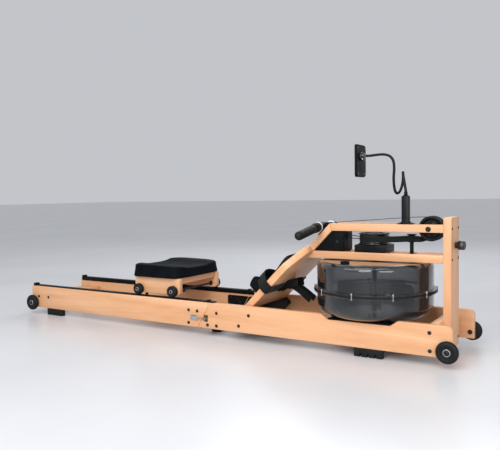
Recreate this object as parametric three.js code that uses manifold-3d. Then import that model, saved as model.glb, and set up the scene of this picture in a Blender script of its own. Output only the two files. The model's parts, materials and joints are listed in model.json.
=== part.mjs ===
// A folding wooden water rower: two rail frames hinged in the middle, a rolling seat, and a
// water tank with a belt-driven paddle under a two-beam spine.
// Units are millimetres. +X runs from the seat towards the tank, +Y is the rower's left and
// +Z is up. The origin is on the floor, midway between the end wheels.
import * as THREE from "three";
import { mergeVertices } from "three/addons/utils/BufferGeometryUtils.js";
import Module from "manifold-3d";

const wasm = await Module();
wasm.setup();

// ---- driving dimensions ----
const GAP = 0.3;                     // running clearance between touching pieces
const RAIL_END = 1030;               // each rail reaches this far from the middle
const RAIL_INNER = 150;              // inner face of a rail, from the centre plane
const RAIL_OUTER = 172;
const RAIL_BOTTOM = 31;
const RAIL_TOP = 138;
const RAIL_CORNER = 20;
const FOLD = { x: 0, z: 31 };        // fold hinge line, at the bottom of the joint
const JOINT_TOP_X = 54;              // the joint rises at a slant, then straight up
const JOINT_KINK_Z = 116;
const AXLE_X = 1015;
const AXLE_Z = 55;
const AXLE_RADIUS = 5;
const WHEEL_RADIUS = 37.5;
const WHEEL_WIDTH = 22;
const WHEEL_GAP = 1;                 // between a wheel and its rail
const WHEEL_HUB = { radius: 20, depth: 4 };
const SPINE_OUTER = 54;              // outer face of the spine's beams
const SPINE_INNER = 30;
const COLUMN_BACK = 970;
const COLUMN_FRONT = 997;
const COLUMN_TOP = 487;
const COLUMN_BOTTOM = 31;
const TOP_BEAM = { low: 434, high: 462 };
const MID_BEAM = { low: 328, high: 356 };
const SLOPE_TOP = 80;                // x - z on the footboard's upper face
const SLOPE_UNDER = 120;             // x - z on its underside
const SLOPE_DIAGONAL = 84;           // x - z on the diagonals' upper face
const FOOTBOARD = { half: 148, low: 190, taper: 702, high: 830, topHalf: 82 };
const TANK_X = 703;
const TANK_RADIUS = 214;
const TANK_WALL = 4;
const TANK_BOTTOM = 125.5;
const TANK_JOINT = 219;              // height of the flange that joins the two shells
const TANK_TOP = 325;
const TANK_FLANGE = 224;
const SHAFT_RADIUS = 8;
const SPOOL = { low: 385, high: 426, flange: 58, drum: 46 };
const PULLEY = { x: 918, z: 446, radius: 45, width: 34 };
const GUIDE = { x: 843, y: 4, radius: 18, low: 396, high: 424 };
const HANDLE = { x: 500, z: 449, reach: 235, droop: 27, radius: 16.5 };
const HOLDER = { x: 836, y: -42 };
const SEAT = { x: -235, length: 250, cheekOuter: 147, cheek: 22, low: 150, high: 221 };
const ROLLER = { radius: 24, width: 22, spread: 95 };
const TRACK_TOP = 143;
const SADDLE = { x: -241, half: 168, length: 266, height: 56 };

// ---- materials ----
const material = (color, roughness, metalness = 0) =>
  new THREE.MeshStandardMaterial({ color, roughness, metalness });
const beech = material(0xefc29b, 0.5);
const rubber = material(0x17181a, 0.75);
const plastic = material(0x1b1c1f, 0.5);
const blackSteel = material(0x202225, 0.4, 0.6);
const steel = material(0xb9bbbd, 0.3, 0.9);
const webbing = material(0x131313, 0.85);
const smoked = material(0x50565a, 0.1);
const saddleSkin = material(0x15181c, 0.6);

const rower = new THREE.Group();

function place(name, geometry, look) {
  const mesh = new THREE.Mesh(geometry, look);
  mesh.name = name;
  rower.add(mesh);
  return mesh;
}

// ---- booleans ----
function solid(geometry) {
  const bare = geometry.clone();
  bare.deleteAttribute("normal");
  bare.deleteAttribute("uv");
  const merged = mergeVertices(bare, 1e-4);
  const vertProperties = new Float32Array(merged.attributes.position.array);
  const triVerts = new Uint32Array(merged.index.array);
  return new wasm.Manifold(new wasm.Mesh({ numProp: 3, vertProperties, triVerts }));
}

function geometryOf(manifold) {
  const mesh = manifold.getMesh();
  const geometry = new THREE.BufferGeometry();
  geometry.setAttribute("position", new THREE.BufferAttribute(mesh.vertProperties, 3));
  geometry.setIndex(new THREE.BufferAttribute(mesh.triVerts, 1));
  return geometry;
}

const join = (first, ...rest) =>
  geometryOf(rest.reduce((whole, piece) => whole.add(solid(piece)), solid(first)));
const cut = (first, ...rest) =>
  geometryOf(rest.reduce((whole, piece) => whole.subtract(solid(piece)), solid(first)));

// ---- shapes ----
const outline = (points) => new THREE.Shape(points.map(([x, y]) => new THREE.Vector2(x, y)));

function slab(shape, yLow, yHigh, curveSegments = 6) {
  const depth = yHigh - yLow;
  const geometry = new THREE.ExtrudeGeometry(shape, { depth, bevelEnabled: false, curveSegments });
  geometry.rotateX(Math.PI / 2);
  return geometry.translate(0, yHigh, 0);
}

const profile = (points, yLow, yHigh) => slab(outline(points), yLow, yHigh);

function box(low, high) {
  const size = high.map((value, axis) => value - low[axis]);
  const middle = high.map((value, axis) => (value + low[axis]) / 2);
  return new THREE.BoxGeometry(...size).translate(...middle);
}

function cylinder(axis, radius, from, to, segments = 24) {
  const low = new THREE.Vector3(...from);
  const length = to - from["xyz".indexOf(axis)];
  const geometry = new THREE.CylinderGeometry(radius, radius, length, segments);
  geometry.translate(0, length / 2, 0);
  if (axis === "x") geometry.rotateZ(-Math.PI / 2);
  if (axis === "z") geometry.rotateX(Math.PI / 2);
  return geometry.translate(low.x, low.y, low.z);
}

// A profile of [radius, height] pairs turned round the vertical axis.
function turned(points, segments = 32) {
  const profilePoints = points.map(([radius, height]) => new THREE.Vector2(radius, height));
  return new THREE.LatheGeometry(profilePoints, segments).rotateX(Math.PI / 2);
}

// A closed ring profile of [radius, offset] pairs turned round the Y axis.
function turnedOnY(points, segments = 32) {
  const profilePoints = points.map(([radius, offset]) => new THREE.Vector2(radius, offset));
  return new THREE.LatheGeometry(profilePoints, segments);
}

function roundedRectangle(width, height, radius) {
  const [w, h, r] = [width / 2, height / 2, radius];
  const shape = new THREE.Shape();
  shape.absarc(w - r, h - r, r, 0, Math.PI / 2);
  shape.absarc(-w + r, h - r, r, Math.PI / 2, Math.PI);
  shape.absarc(-w + r, -h + r, r, Math.PI, 1.5 * Math.PI);
  shape.absarc(w - r, -h + r, r, 1.5 * Math.PI, 2 * Math.PI);
  return shape;
}

function circle(radius) {
  return new THREE.Shape().absarc(0, 0, radius, 0, 2 * Math.PI);
}

// ---- the footboard's own axes: u runs up the slope, v along Y, w out of the upper face ----
const UP_SLOPE = new THREE.Vector3(1, 0, 1).normalize();
const ALONG_Y = new THREE.Vector3(0, 1, 0);
const OFF_SLOPE = new THREE.Vector3(-1, 0, 1).normalize();
const slopeBasis = new THREE.Matrix4().makeBasis(UP_SLOPE, ALONG_Y, OFF_SLOPE);
const along = (sum) => sum / Math.SQRT2;             // position up the slope, from x + z
const depthOf = (difference) => -difference / Math.SQRT2;   // height over it, from x - z

function onSlope(shape, underside, topside, curveSegments = 6) {
  const [low, high] = [depthOf(underside), depthOf(topside)];
  const depth = high - low;
  const geometry = new THREE.ExtrudeGeometry(shape, { depth, bevelEnabled: false, curveSegments });
  return geometry.translate(0, 0, low).applyMatrix4(slopeBasis);
}

const sides = [["left", 1], ["right", -1]];

// ---- rails ----
const notch = { low: 120, bottomHalf: 118, topHalf: 143 };   // about the tank's axis

function frontRailShape() {
  const shape = new THREE.Shape();
  shape.moveTo(FOLD.x, RAIL_BOTTOM);
  shape.lineTo(RAIL_END, RAIL_BOTTOM);
  shape.lineTo(RAIL_END, RAIL_TOP - RAIL_CORNER);
  shape.absarc(RAIL_END - RAIL_CORNER, RAIL_TOP - RAIL_CORNER, RAIL_CORNER, 0, Math.PI / 2);
  shape.lineTo(TANK_X + notch.topHalf, RAIL_TOP);
  shape.lineTo(TANK_X + notch.bottomHalf, notch.low);
  shape.lineTo(TANK_X - notch.bottomHalf, notch.low);
  shape.lineTo(TANK_X - notch.topHalf, RAIL_TOP);
  shape.lineTo(JOINT_TOP_X, RAIL_TOP);
  shape.lineTo(JOINT_TOP_X, JOINT_KINK_Z);
  return shape;
}

const rearRailPoints = [
  [-RAIL_END, RAIL_BOTTOM], [FOLD.x - GAP, RAIL_BOTTOM], [JOINT_TOP_X - GAP, JOINT_KINK_Z],
  [JOINT_TOP_X - GAP, RAIL_TOP], [-RAIL_END, RAIL_TOP],
];

for (const [side, sign] of sides) {
  const [yLow, yHigh] = sign > 0 ? [RAIL_INNER, RAIL_OUTER] : [-RAIL_OUTER, -RAIL_INNER];
  const bore = (x) => cylinder("y", AXLE_RADIUS + GAP, [x, yLow - 1, AXLE_Z], yHigh + 1, 16);
  place(`front_rail_${side}`, cut(slab(frontRailShape(), yLow, yHigh, 4), bore(AXLE_X)), beech);
  place(`rear_rail_${side}`, profile(rearRailPoints, yLow, yHigh), beech);
}

// ---- end wheels and the front axle bolts ----
function wheel(sign) {
  const [inner, outer] = [RAIL_OUTER + WHEEL_GAP, RAIL_OUTER + WHEEL_GAP + WHEEL_WIDTH];
  const [bore, edge] = [AXLE_RADIUS + GAP, 5];
  const hubFace = outer - WHEEL_HUB.depth;
  const ring = [
    [bore, inner], [WHEEL_RADIUS - edge, inner], [WHEEL_RADIUS, inner + edge],
    [WHEEL_RADIUS, outer - edge], [WHEEL_RADIUS - edge, outer], [WHEEL_HUB.radius, outer],
    [WHEEL_HUB.radius, hubFace], [bore, hubFace], [bore, inner],
  ];
  return sign > 0 ? turnedOnY(ring, 32) : turnedOnY(ring, 32).rotateX(Math.PI);
}

function axleBolt(sign) {
  const [headRadius, headHeight, nutRadius, shankProud] = [9, 7, 8.5, 1.5];
  const shankEnd = RAIL_OUTER + WHEEL_GAP + WHEEL_WIDTH;
  const hubFace = shankEnd - WHEEL_HUB.depth + GAP;
  const head = cylinder("y", headRadius, [0, RAIL_INNER - headHeight, 0], RAIL_INNER - GAP, 12);
  const shank = cylinder("y", AXLE_RADIUS, [0, RAIL_INNER - headHeight / 2, 0], shankEnd, 16);
  const nut = cylinder("y", nutRadius, [0, hubFace, 0], shankEnd + shankProud, 12);
  const bolt = join(head, shank, nut);
  return sign > 0 ? bolt : bolt.rotateX(Math.PI);
}

for (const [side, sign] of sides) {
  place(`front_axle_bolt_${side}`, axleBolt(sign).translate(AXLE_X, 0, AXLE_Z), steel);
  place(`front_wheel_${side}`, wheel(sign).translate(AXLE_X, 0, AXLE_Z), rubber);
  place(`rear_wheel_${side}`, wheel(sign).translate(-AXLE_X, 0, AXLE_Z), rubber);
}

// ---- feet: ribbed rubber blocks under the rails ----
function foot(xMiddle, length, yLow, yHigh, ribs = 4) {
  const [top, groove, grooveTop] = [RAIL_BOTTOM - GAP, 6, 12];
  const start = xMiddle - length / 2;
  const pitch = (length + groove) / ribs;
  const points = [[start, 0]];
  for (let rib = 0; rib < ribs; rib++) {
    const end = start + rib * pitch + (pitch - groove);
    points.push([end, 0]);
    if (rib < ribs - 1) points.push([end, grooveTop], [end + groove, grooveTop], [end + groove, 0]);
  }
  points.push([start + length, top], [start, top]);
  return profile(points, yLow, yHigh);
}

for (const [side, sign] of sides) {
  const [yLow, yHigh] = sign > 0 ? [RAIL_INNER, RAIL_OUTER] : [-RAIL_OUTER, -RAIL_INNER];
  place(`front_foot_${side}`, foot(740, 104, yLow, yHigh), rubber);
  place(`rear_foot_${side}`, foot(-870, 104, yLow, yHigh), rubber);
}

// ---- cross members ----
const between = RAIL_INNER - GAP;
const rearBoard = { from: -1005, to: -885, low: 75, high: 97 };
const frontBoard = { thickness: 27, low: 36, high: 132 };
const footBar = { from: 18, to: 58, low: 33, high: 55, padY: 70, padHalf: 26 };
const beamEnd = COLUMN_BACK - GAP;

place("rear_crossmember", box([rearBoard.from, -between, rearBoard.low],
  [rearBoard.to, between, rearBoard.high]), beech);
place("front_crossmember", box([beamEnd - frontBoard.thickness, -between, frontBoard.low],
  [beamEnd, between, frontBoard.high]), beech);

function footPad(sign) {
  const middle = sign * footBar.padY;
  return box([footBar.from, middle - footBar.padHalf, 0],
    [footBar.to, middle + footBar.padHalf, footBar.low + 1]);
}
const crossBar = box([footBar.from, -between, footBar.low], [footBar.to, between, footBar.high]);
place("middle_foot_bar", join(crossBar, footPad(1), footPad(-1)), rubber);

// ---- spine ----
// A shape drawn across the machine, made a plate that runs along X.
function plateOnX(shape, from, to, height, yMiddle = 0, curveSegments = 4) {
  const depth = to - from;
  const geometry = new THREE.ExtrudeGeometry(shape, { depth, bevelEnabled: false, curveSegments });
  geometry.rotateX(Math.PI / 2).rotateZ(Math.PI / 2);
  return geometry.translate(from, yMiddle, height);
}

function column() {
  const corner = 8;
  const shape = roundedRectangle(2 * SPINE_OUTER, COLUMN_TOP - COLUMN_BOTTOM, corner);
  return plateOnX(shape, COLUMN_BACK, COLUMN_FRONT, (COLUMN_TOP + COLUMN_BOTTOM) / 2);
}
place("front_column", column(), beech);

// The diagonal meets the top beam in a mitre, and the mid beam's end follows its underside.
const mitreOuter = [SLOPE_DIAGONAL + TOP_BEAM.high, TOP_BEAM.high];
const mitreInner = [SLOPE_UNDER + TOP_BEAM.low, TOP_BEAM.low];
const boardTop = FOOTBOARD.high + GAP * 2;
const footOf = (difference) => [(boardTop + difference) / 2, (boardTop - difference) / 2];
const topBeamPoints = [
  mitreInner, [beamEnd, TOP_BEAM.low], [beamEnd, TOP_BEAM.high], mitreOuter,
];
const midBeamPoints = [
  [SLOPE_UNDER + GAP * 2 + MID_BEAM.low, MID_BEAM.low], [beamEnd, MID_BEAM.low],
  [beamEnd, MID_BEAM.high], [SLOPE_UNDER + GAP * 2 + MID_BEAM.high, MID_BEAM.high],
];
const diagonalPoints = [
  footOf(SLOPE_UNDER), [mitreInner[0] - GAP * 2, mitreInner[1]],
  [mitreOuter[0] - GAP * 2, mitreOuter[1]], footOf(SLOPE_DIAGONAL),
];

for (const [side, sign] of sides) {
  const reach = [sign * SPINE_INNER, sign * SPINE_OUTER].sort((a, b) => a - b);
  place(`top_beam_${side}`, profile(topBeamPoints, ...reach), beech);
  place(`mid_beam_${side}`, profile(midBeamPoints, ...reach), beech);
  place(`diagonal_${side}`, profile(diagonalPoints, ...reach), beech);
}

// ---- footboard, its bracket and the foot plates ----
const footboardShape = outline([
  [along(FOOTBOARD.low), -FOOTBOARD.half], [along(FOOTBOARD.taper), -FOOTBOARD.half],
  [along(FOOTBOARD.high), -FOOTBOARD.topHalf], [along(FOOTBOARD.high), FOOTBOARD.topHalf],
  [along(FOOTBOARD.taper), FOOTBOARD.half], [along(FOOTBOARD.low), FOOTBOARD.half],
]);
place("footboard", onSlope(footboardShape, SLOPE_UNDER, SLOPE_TOP), beech);

const bracketShape = outline([
  [along(236), -between], [along(376), -between], [along(376), between], [along(236), between],
]);
place("footboard_bracket", onSlope(bracketShape, 165, SLOPE_UNDER + 2 * GAP), plastic);

// A foot plate in side view: a thin sole with a raised heel cup at its lower end.
function footPlate(yMiddle) {
  const sole = depthOf(SLOPE_TOP) + GAP;
  const [heel, toe] = [along(418), along(748)];
  const [thickness, cupHeight, cupLength] = [7, 58, 84];
  const side = outline([
    [heel, sole], [toe, sole], [toe + 4, sole + thickness + 6], [toe - 10, sole + 24],
    [toe - 40, sole + 22], [heel + 190, sole + thickness + 2],
    [heel + cupLength + 26, sole + thickness], [heel + cupLength, sole + cupHeight],
    [heel, sole + cupHeight - 6],
  ]);
  const width = 96;
  const geometry = new THREE.ExtrudeGeometry(side, { depth: width, bevelEnabled: false });
  geometry.rotateX(Math.PI / 2).translate(0, width / 2, 0);
  const turn = new THREE.Matrix4().makeRotationY(-Math.PI / 4);
  return geometry.applyMatrix4(turn).translate(0, yMiddle, 0);
}

const footY = 76;
for (const [side, sign] of sides) place(`foot_plate_${side}`, footPlate(sign * footY), plastic);

// ---- water tank ----
const cradleTop = TANK_BOTTOM - GAP;
place("tank_cradle", box([TANK_X - 115, -RAIL_OUTER, notch.low + GAP],
  [TANK_X + 115, RAIL_OUTER, cradleTop]), plastic);

function arcPoints(radiusAt, heightAt, spanR, spanZ, from, to, steps) {
  const points = [];
  for (let step = 0; step <= steps; step++) {
    const angle = from + (to - from) * step / steps;
    points.push([radiusAt + spanR * Math.cos(angle), heightAt + spanZ * Math.sin(angle)]);
  }
  return points;
}

const shoulder = { r: 48, z: 46 };
const crown = { r: 24, z: 22 };
const TURNS = 40;

function lowerShell() {
  const inset = TANK_WALL;
  const outer = arcPoints(TANK_RADIUS - shoulder.r, TANK_BOTTOM + shoulder.z,
    shoulder.r, shoulder.z, -Math.PI / 2, 0, 5);
  const inner = arcPoints(TANK_RADIUS - shoulder.r, TANK_BOTTOM + shoulder.z,
    shoulder.r - inset, shoulder.z - inset, 0, -Math.PI / 2, 5);
  const lip = [
    [TANK_RADIUS, TANK_JOINT - 9], [TANK_FLANGE, TANK_JOINT - 7],
    [TANK_FLANGE, TANK_JOINT - 2], [TANK_RADIUS - inset, TANK_JOINT - 2],
  ];
  const floor = TANK_BOTTOM + inset;
  return turned([[0, TANK_BOTTOM], ...outer, ...lip, ...inner, [0, floor]], TURNS);
}

function upperShell() {
  const inset = TANK_WALL;
  const outer = arcPoints(TANK_RADIUS - crown.r, TANK_TOP - crown.z, crown.r, crown.z,
    0, Math.PI / 2, 4);
  const inner = arcPoints(TANK_RADIUS - crown.r, TANK_TOP - crown.z,
    crown.r - inset, crown.z - inset, Math.PI / 2, 0, 4);
  const [hole, base] = [SHAFT_RADIUS + 6, TANK_JOINT + 2];
  const ring = [
    [hole, TANK_TOP], [hole, TANK_TOP - inset], ...inner, [TANK_RADIUS - inset, base],
    [TANK_FLANGE, base], [TANK_FLANGE, base + 5], [TANK_RADIUS, base + 7], ...outer,
    [hole, TANK_TOP],
  ];
  return turned(ring, TURNS);
}

const plugSpot = { x: TANK_X - 55, y: -150, radius: 16 };
const plugHole = cylinder("z", plugSpot.radius - 3, [plugSpot.x, plugSpot.y, TANK_TOP - 12],
  TANK_TOP + 5, 20);
place("tank_lower_shell", lowerShell().translate(TANK_X, 0, 0), smoked);
place("tank_upper_shell", cut(upperShell().translate(TANK_X, 0, 0), plugHole), smoked);

const [sealIn, sealOut] = [TANK_RADIUS - TANK_WALL, TANK_FLANGE + 2];
const [sealLow, sealHigh] = [TANK_JOINT - 2 + GAP, TANK_JOINT + 2 - GAP];
place("tank_seal", turned([
  [sealIn, sealLow], [sealOut, sealLow], [sealOut, sealHigh], [sealIn, sealHigh], [sealIn, sealLow],
], TURNS).translate(TANK_X, 0, 0), rubber);

place("tank_plug", join(
  cylinder("z", plugSpot.radius, [plugSpot.x, plugSpot.y, TANK_TOP + GAP], TANK_TOP + 7, 20),
  cylinder("z", plugSpot.radius - 3.6, [plugSpot.x, plugSpot.y, TANK_TOP - 12],
    TANK_TOP + 3, 20)), plastic);

// ---- paddle, its bearing housing and the belt spool, all on one upright shaft ----
function paddle() {
  const [bladeLow, bladeHigh, bladeReach, bladeThickness] = [140, 300, 150, 5];
  const shaft = cylinder("z", SHAFT_RADIUS, [0, 0, 134], SPOOL.low - GAP, 16);
  const blades = [0, 1, 2].map((index) => box(
    [-bladeReach, -bladeThickness / 2, bladeLow + 20],
    [bladeReach, bladeThickness / 2, bladeHigh - 60]).rotateZ(index * Math.PI / 3));
  return join(shaft, ...blades).translate(TANK_X, 0, 0);
}
place("paddle", paddle(), plastic);

const housing = { half: 60, low: MID_BEAM.high + GAP, high: SPOOL.low - 1 };
const housingBore = cylinder("z", SHAFT_RADIUS + GAP, [TANK_X, 0, housing.low - 40],
  housing.high + 5, 16);
place("bearing_housing", cut(join(
  box([TANK_X - housing.half, -50, housing.low], [TANK_X + housing.half, 50, housing.high]),
  box([TANK_X - 40, -SPINE_INNER + 2, MID_BEAM.low + 6],
    [TANK_X + 40, SPINE_INNER - 2, housing.low + 5])), housingBore), blackSteel);

place("spool", turned([
  [0, SPOOL.low], [SPOOL.flange, SPOOL.low], [SPOOL.flange, SPOOL.low + 4],
  [SPOOL.drum, SPOOL.low + 6], [SPOOL.drum, SPOOL.high - 6],
  [SPOOL.flange, SPOOL.high - 4], [SPOOL.flange, SPOOL.high], [0, SPOOL.high],
], 32).translate(TANK_X, 0, 0), blackSteel);

// ---- recoil housing behind the mitre, front pulley and guide roller ----
const housingTop = TOP_BEAM.low - GAP * 2;
const housingLow = MID_BEAM.high + GAP * 2;
place("pulley_housing", profile([
  [SLOPE_UNDER + 1 + housingLow, housingLow], [597, housingLow], [597, housingTop],
  [SLOPE_UNDER + 1 + housingTop, housingTop],
], -46, 46), plastic);

const pulleyHalf = PULLEY.width / 2;
place("front_pulley", turnedOnY([
  [0, -pulleyHalf], [PULLEY.radius, -pulleyHalf], [PULLEY.radius, -pulleyHalf + 3],
  [PULLEY.radius - 5, -pulleyHalf + 4], [PULLEY.radius - 5, pulleyHalf - 4],
  [PULLEY.radius, pulleyHalf - 3], [PULLEY.radius, pulleyHalf], [0, pulleyHalf],
], 32).translate(PULLEY.x, 0, PULLEY.z), blackSteel);

// The post stands on a plate held between the middle beams.
const postPlate = { half: 16, low: MID_BEAM.high - 14, high: MID_BEAM.high - 6 };
place("guide_post", join(
  box([GUIDE.x - postPlate.half, -SPINE_INNER + GAP, postPlate.low],
    [GUIDE.x + postPlate.half, SPINE_INNER - GAP, postPlate.high]),
  cylinder("z", 7, [GUIDE.x, GUIDE.y, postPlate.high - 2], GUIDE.low - GAP, 16)), blackSteel);
place("guide_roller", turned([
  [0, GUIDE.low], [GUIDE.radius, GUIDE.low], [GUIDE.radius, GUIDE.low + 3],
  [GUIDE.radius - 6, GUIDE.low + 5], [GUIDE.radius - 6, GUIDE.high - 5],
  [GUIDE.radius, GUIDE.high - 3], [GUIDE.radius, GUIDE.high], [0, GUIDE.high],
], 24).translate(GUIDE.x, GUIDE.y, 0), plastic);

// ---- handle, its rest and the belt ----
function handle() {
  const { x, z, reach, droop, radius } = HANDLE;
  const middle = 62;
  const path = new THREE.CatmullRomCurve3([
    new THREE.Vector3(x, -reach, z - droop), new THREE.Vector3(x, -middle, z - 1),
    new THREE.Vector3(x, 0, z), new THREE.Vector3(x, middle, z - 1),
    new THREE.Vector3(x, reach, z - droop),
  ]);
  return new THREE.ExtrudeGeometry(circle(radius),
    { steps: 20, extrudePath: path, bevelEnabled: false, curveSegments: 7 });
}
place("handle", handle(), rubber);

const restTop = HANDLE.x - HANDLE.z + (HANDLE.radius + 2) * Math.SQRT2;
const restUp = HANDLE.x + HANDLE.z;
place("handle_rest", onSlope(outline([
  [along(restUp - 36), -SPINE_OUTER], [along(restUp + 44), -SPINE_OUTER],
  [along(restUp + 44), SPINE_OUTER], [along(restUp - 36), SPINE_OUTER],
]), SLOPE_DIAGONAL - 2 * GAP, restTop), plastic);

const BELT = { half: 11, thickness: 1.6 };
const beltStart = [HANDLE.x + HANDLE.radius + 1, HANDLE.z + 9];
const beltEnd = [PULLEY.x - 1, PULLEY.z + PULLEY.radius - 4.5];
place("drive_belt_upper", profile([
  beltStart, beltEnd, [beltEnd[0], beltEnd[1] + BELT.thickness],
  [beltStart[0], beltStart[1] + BELT.thickness],
], -BELT.half, BELT.half), webbing);

const beltMiddleZ = (SPOOL.low + SPOOL.high) / 2;
const lowerRun = [
  [TANK_X + SPOOL.flange + 2, -SPOOL.drum + 6], [GUIDE.x - 4, GUIDE.y - GUIDE.radius - 1],
  [GUIDE.x + 4, GUIDE.y - GUIDE.radius - 1], [PULLEY.x - PULLEY.radius - 2, -3],
];
const runBack = [...lowerRun].reverse().map(([x, y]) => [x, y - BELT.thickness]);
place("drive_belt_lower", new THREE.ExtrudeGeometry(outline([...lowerRun, ...runBack]),
  { depth: 2 * BELT.half, bevelEnabled: false }).translate(0, 0, beltMiddleZ - BELT.half), webbing);

// ---- monitor holder, gooseneck and monitor ----
place("holder_bracket", join(
  box([HOLDER.x - 29, HOLDER.y - 12, TOP_BEAM.high + GAP],
    [HOLDER.x + 29, HOLDER.y + 12, TOP_BEAM.high + 4]),
  box([HOLDER.x - 12.5, HOLDER.y - 12, TOP_BEAM.high + 3],
    [HOLDER.x + 12.5, HOLDER.y + 12, 562])), blackSteel);

// The flexible arm leaves the tube upwards, turns over, hangs in a loop and reaches back.
const NECK = { radius: 5, base: 562 + GAP };
const neckPoints = [
  [0, 0, NECK.base], [0, 0, 580], [-5, 2, 608], [-11, 7, 634], [-15, 16, 647], [-18, 26, 641],
  [-20, 31, 622], [-23, 31, 602], [-28, 26, 583], [-34, 18, 573], [-40, 9, 577], [-43, 3, 596],
  [-44, 0, 628], [-42, 0, 660], [-45, 0, 688], [-58, 0, 706], [-80, 0, 713], [-106, 0, 713],
  [-130, 0, 711], [-148, 0, 711],
];
const neckPath = new THREE.CatmullRomCurve3(
  neckPoints.map(([x, y, z]) => new THREE.Vector3(HOLDER.x + x, HOLDER.y + y, z)));
place("gooseneck", new THREE.ExtrudeGeometry(circle(NECK.radius),
  { steps: 64, extrudePath: neckPath, bevelEnabled: false, curveSegments: 4 }), blackSteel);

// The monitor is turned a little to the rower's right, about the clamp at the arm's tip.
const MONITOR = {
  back: 669, front: 659, width: 113, low: 634, high: 753, aside: 10, turn: 5 * Math.PI / 180,
};
function monitorCase() {
  const middle = (MONITOR.low + MONITOR.high) / 2;
  const shape = roundedRectangle(MONITOR.width, MONITOR.high - MONITOR.low, 10);
  const plate = plateOnX(shape, MONITOR.front, MONITOR.back, middle, HOLDER.y + MONITOR.aside);
  const neckTip = neckPoints.at(-1);
  const tiltRoom = 3.4;              // so that the boss clears the arm's tip as it tilts
  const armEnd = HOLDER.x + neckTip[0];
  const boss = cylinder("x", 11, [MONITOR.back - 2, HOLDER.y, neckTip[2]], armEnd - tiltRoom, 20);
  const pivot = [armEnd - 1.3, HOLDER.y];
  return join(plate, boss).translate(-pivot[0], -pivot[1], 0).rotateZ(MONITOR.turn)
    .translate(pivot[0], pivot[1], 0);
}
place("monitor_case", monitorCase(), plastic);

// ---- hand knob on the front of the column ----
const knob = { z: 389, radius: 16, length: 34 };
place("front_knob", join(
  cylinder("x", 11, [COLUMN_FRONT + GAP, 0, knob.z], COLUMN_FRONT + 9, 24),
  cylinder("x", knob.radius, [COLUMN_FRONT + 8, 0, knob.z], COLUMN_FRONT + knob.length, 24)),
plastic);

// ---- tracks along the rear rails ----
const trackEnds = [-RAIL_END + 12, JOINT_TOP_X + 27];
for (const [side, sign] of sides) {
  const inner = sign * (RAIL_INNER - 4);
  const outer = sign * (RAIL_OUTER - 1);
  const lipOuter = sign * (RAIL_INNER - GAP);
  const [a, b] = [inner, outer].sort((p, q) => p - q);
  const [c, d] = [inner, lipOuter].sort((p, q) => p - q);
  place(`track_${side}`, join(
    box([trackEnds[0], a, RAIL_TOP + GAP], [trackEnds[1], b, TRACK_TOP]),
    box([trackEnds[0], c, RAIL_TOP - 14], [trackEnds[1], d, TRACK_TOP - 1])), plastic);
}

// ---- seat ----
const cheekInner = SEAT.cheekOuter - SEAT.cheek;
const [seatLow, seatHigh] = [SEAT.x - SEAT.length / 2, SEAT.x + SEAT.length / 2];
const chamfer = 8;
const cheekPoints = [
  [seatLow + chamfer, SEAT.low], [seatHigh - chamfer, SEAT.low], [seatHigh, SEAT.low + chamfer],
  [seatHigh, SEAT.high], [seatLow, SEAT.high], [seatLow, SEAT.low + chamfer],
];
const rollerZ = TRACK_TOP + GAP + ROLLER.radius;
const rollerInner = SEAT.cheekOuter + 1.5;
for (const [side, sign] of sides) {
  const reach = [sign * cheekInner, sign * SEAT.cheekOuter].sort((a, b) => a - b);
  place(`seat_cheek_${side}`, profile(cheekPoints, ...reach), beech);
  for (const [end, direction] of [["front", 1], ["rear", -1]]) {
    const ring = [
      [0, rollerInner], [ROLLER.radius - 2, rollerInner], [ROLLER.radius, rollerInner + 3],
      [ROLLER.radius, rollerInner + ROLLER.width - 3],
      [ROLLER.radius - 2, rollerInner + ROLLER.width], [0, rollerInner + ROLLER.width],
    ];
    const roller = turnedOnY(ring, 28);
    if (sign < 0) roller.rotateX(Math.PI);
    roller.translate(SEAT.x + direction * ROLLER.spread, 0, rollerZ);
    place(`seat_roller_${end}_${side}`, roller, rubber);
  }
}
place("seat_board", box([seatLow + 10, -cheekInner + GAP, SEAT.high - 26],
  [seatHigh - 10, cheekInner - GAP, SEAT.high]), beech);

// The saddle's section across the machine: high at the sides, dished in the middle.
function saddle() {
  const { x, half, length, height } = SADDLE;
  const base = SEAT.high + GAP;
  const shape = new THREE.Shape();
  shape.moveTo(-half + 8, base);
  shape.lineTo(half - 8, base);
  shape.lineTo(half, base + 12);
  shape.quadraticCurveTo(half, base + height, half - 34, base + height);
  shape.quadraticCurveTo(0, base + height - 14, -half + 34, base + height);
  shape.quadraticCurveTo(-half, base + height, -half, base + 12);
  return plateOnX(shape, x - length / 2, x + length / 2, 0, 0, 8);
}
place("saddle", saddle(), saddleSkin);

// ---- draw latches across the joint, one on each outer face ----
function latchLever(sign) {
  const [near, far] = [RAIL_OUTER + GAP + 1.5, RAIL_OUTER + 9];
  const lever = box([-30, near, 62], [8, far, 79]);
  const bail = box([6, far - 2.5, 66], [40, far, 75]);
  const latch = join(lever, bail);
  return sign > 0 ? latch : latch.scale(1, -1, 1);
}

// A mirrored mesh is turned inside out, so its triangles are wound the other way.
function rewound(geometry) {
  const order = geometry.index.array;
  for (let i = 0; i < order.length; i += 3) [order[i], order[i + 1]] = [order[i + 1], order[i]];
  return geometry;
}

for (const [side, sign] of sides) {
  const lever = latchLever(sign);
  place(`latch_lever_${side}`, sign > 0 ? lever : rewound(lever), steel);
}

export default rower;
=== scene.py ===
"""Looks of a folding wooden water rower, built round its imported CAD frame.

Meshes are drawn in millimetres in the row frame: +X from the seat to the tank, +Y the rower's left,
+Z up. add() turns them into metres and lets each ride on its CAD body.
"""

import json
import math

import bmesh
import bpy
from mathutils import Matrix, Vector


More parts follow.
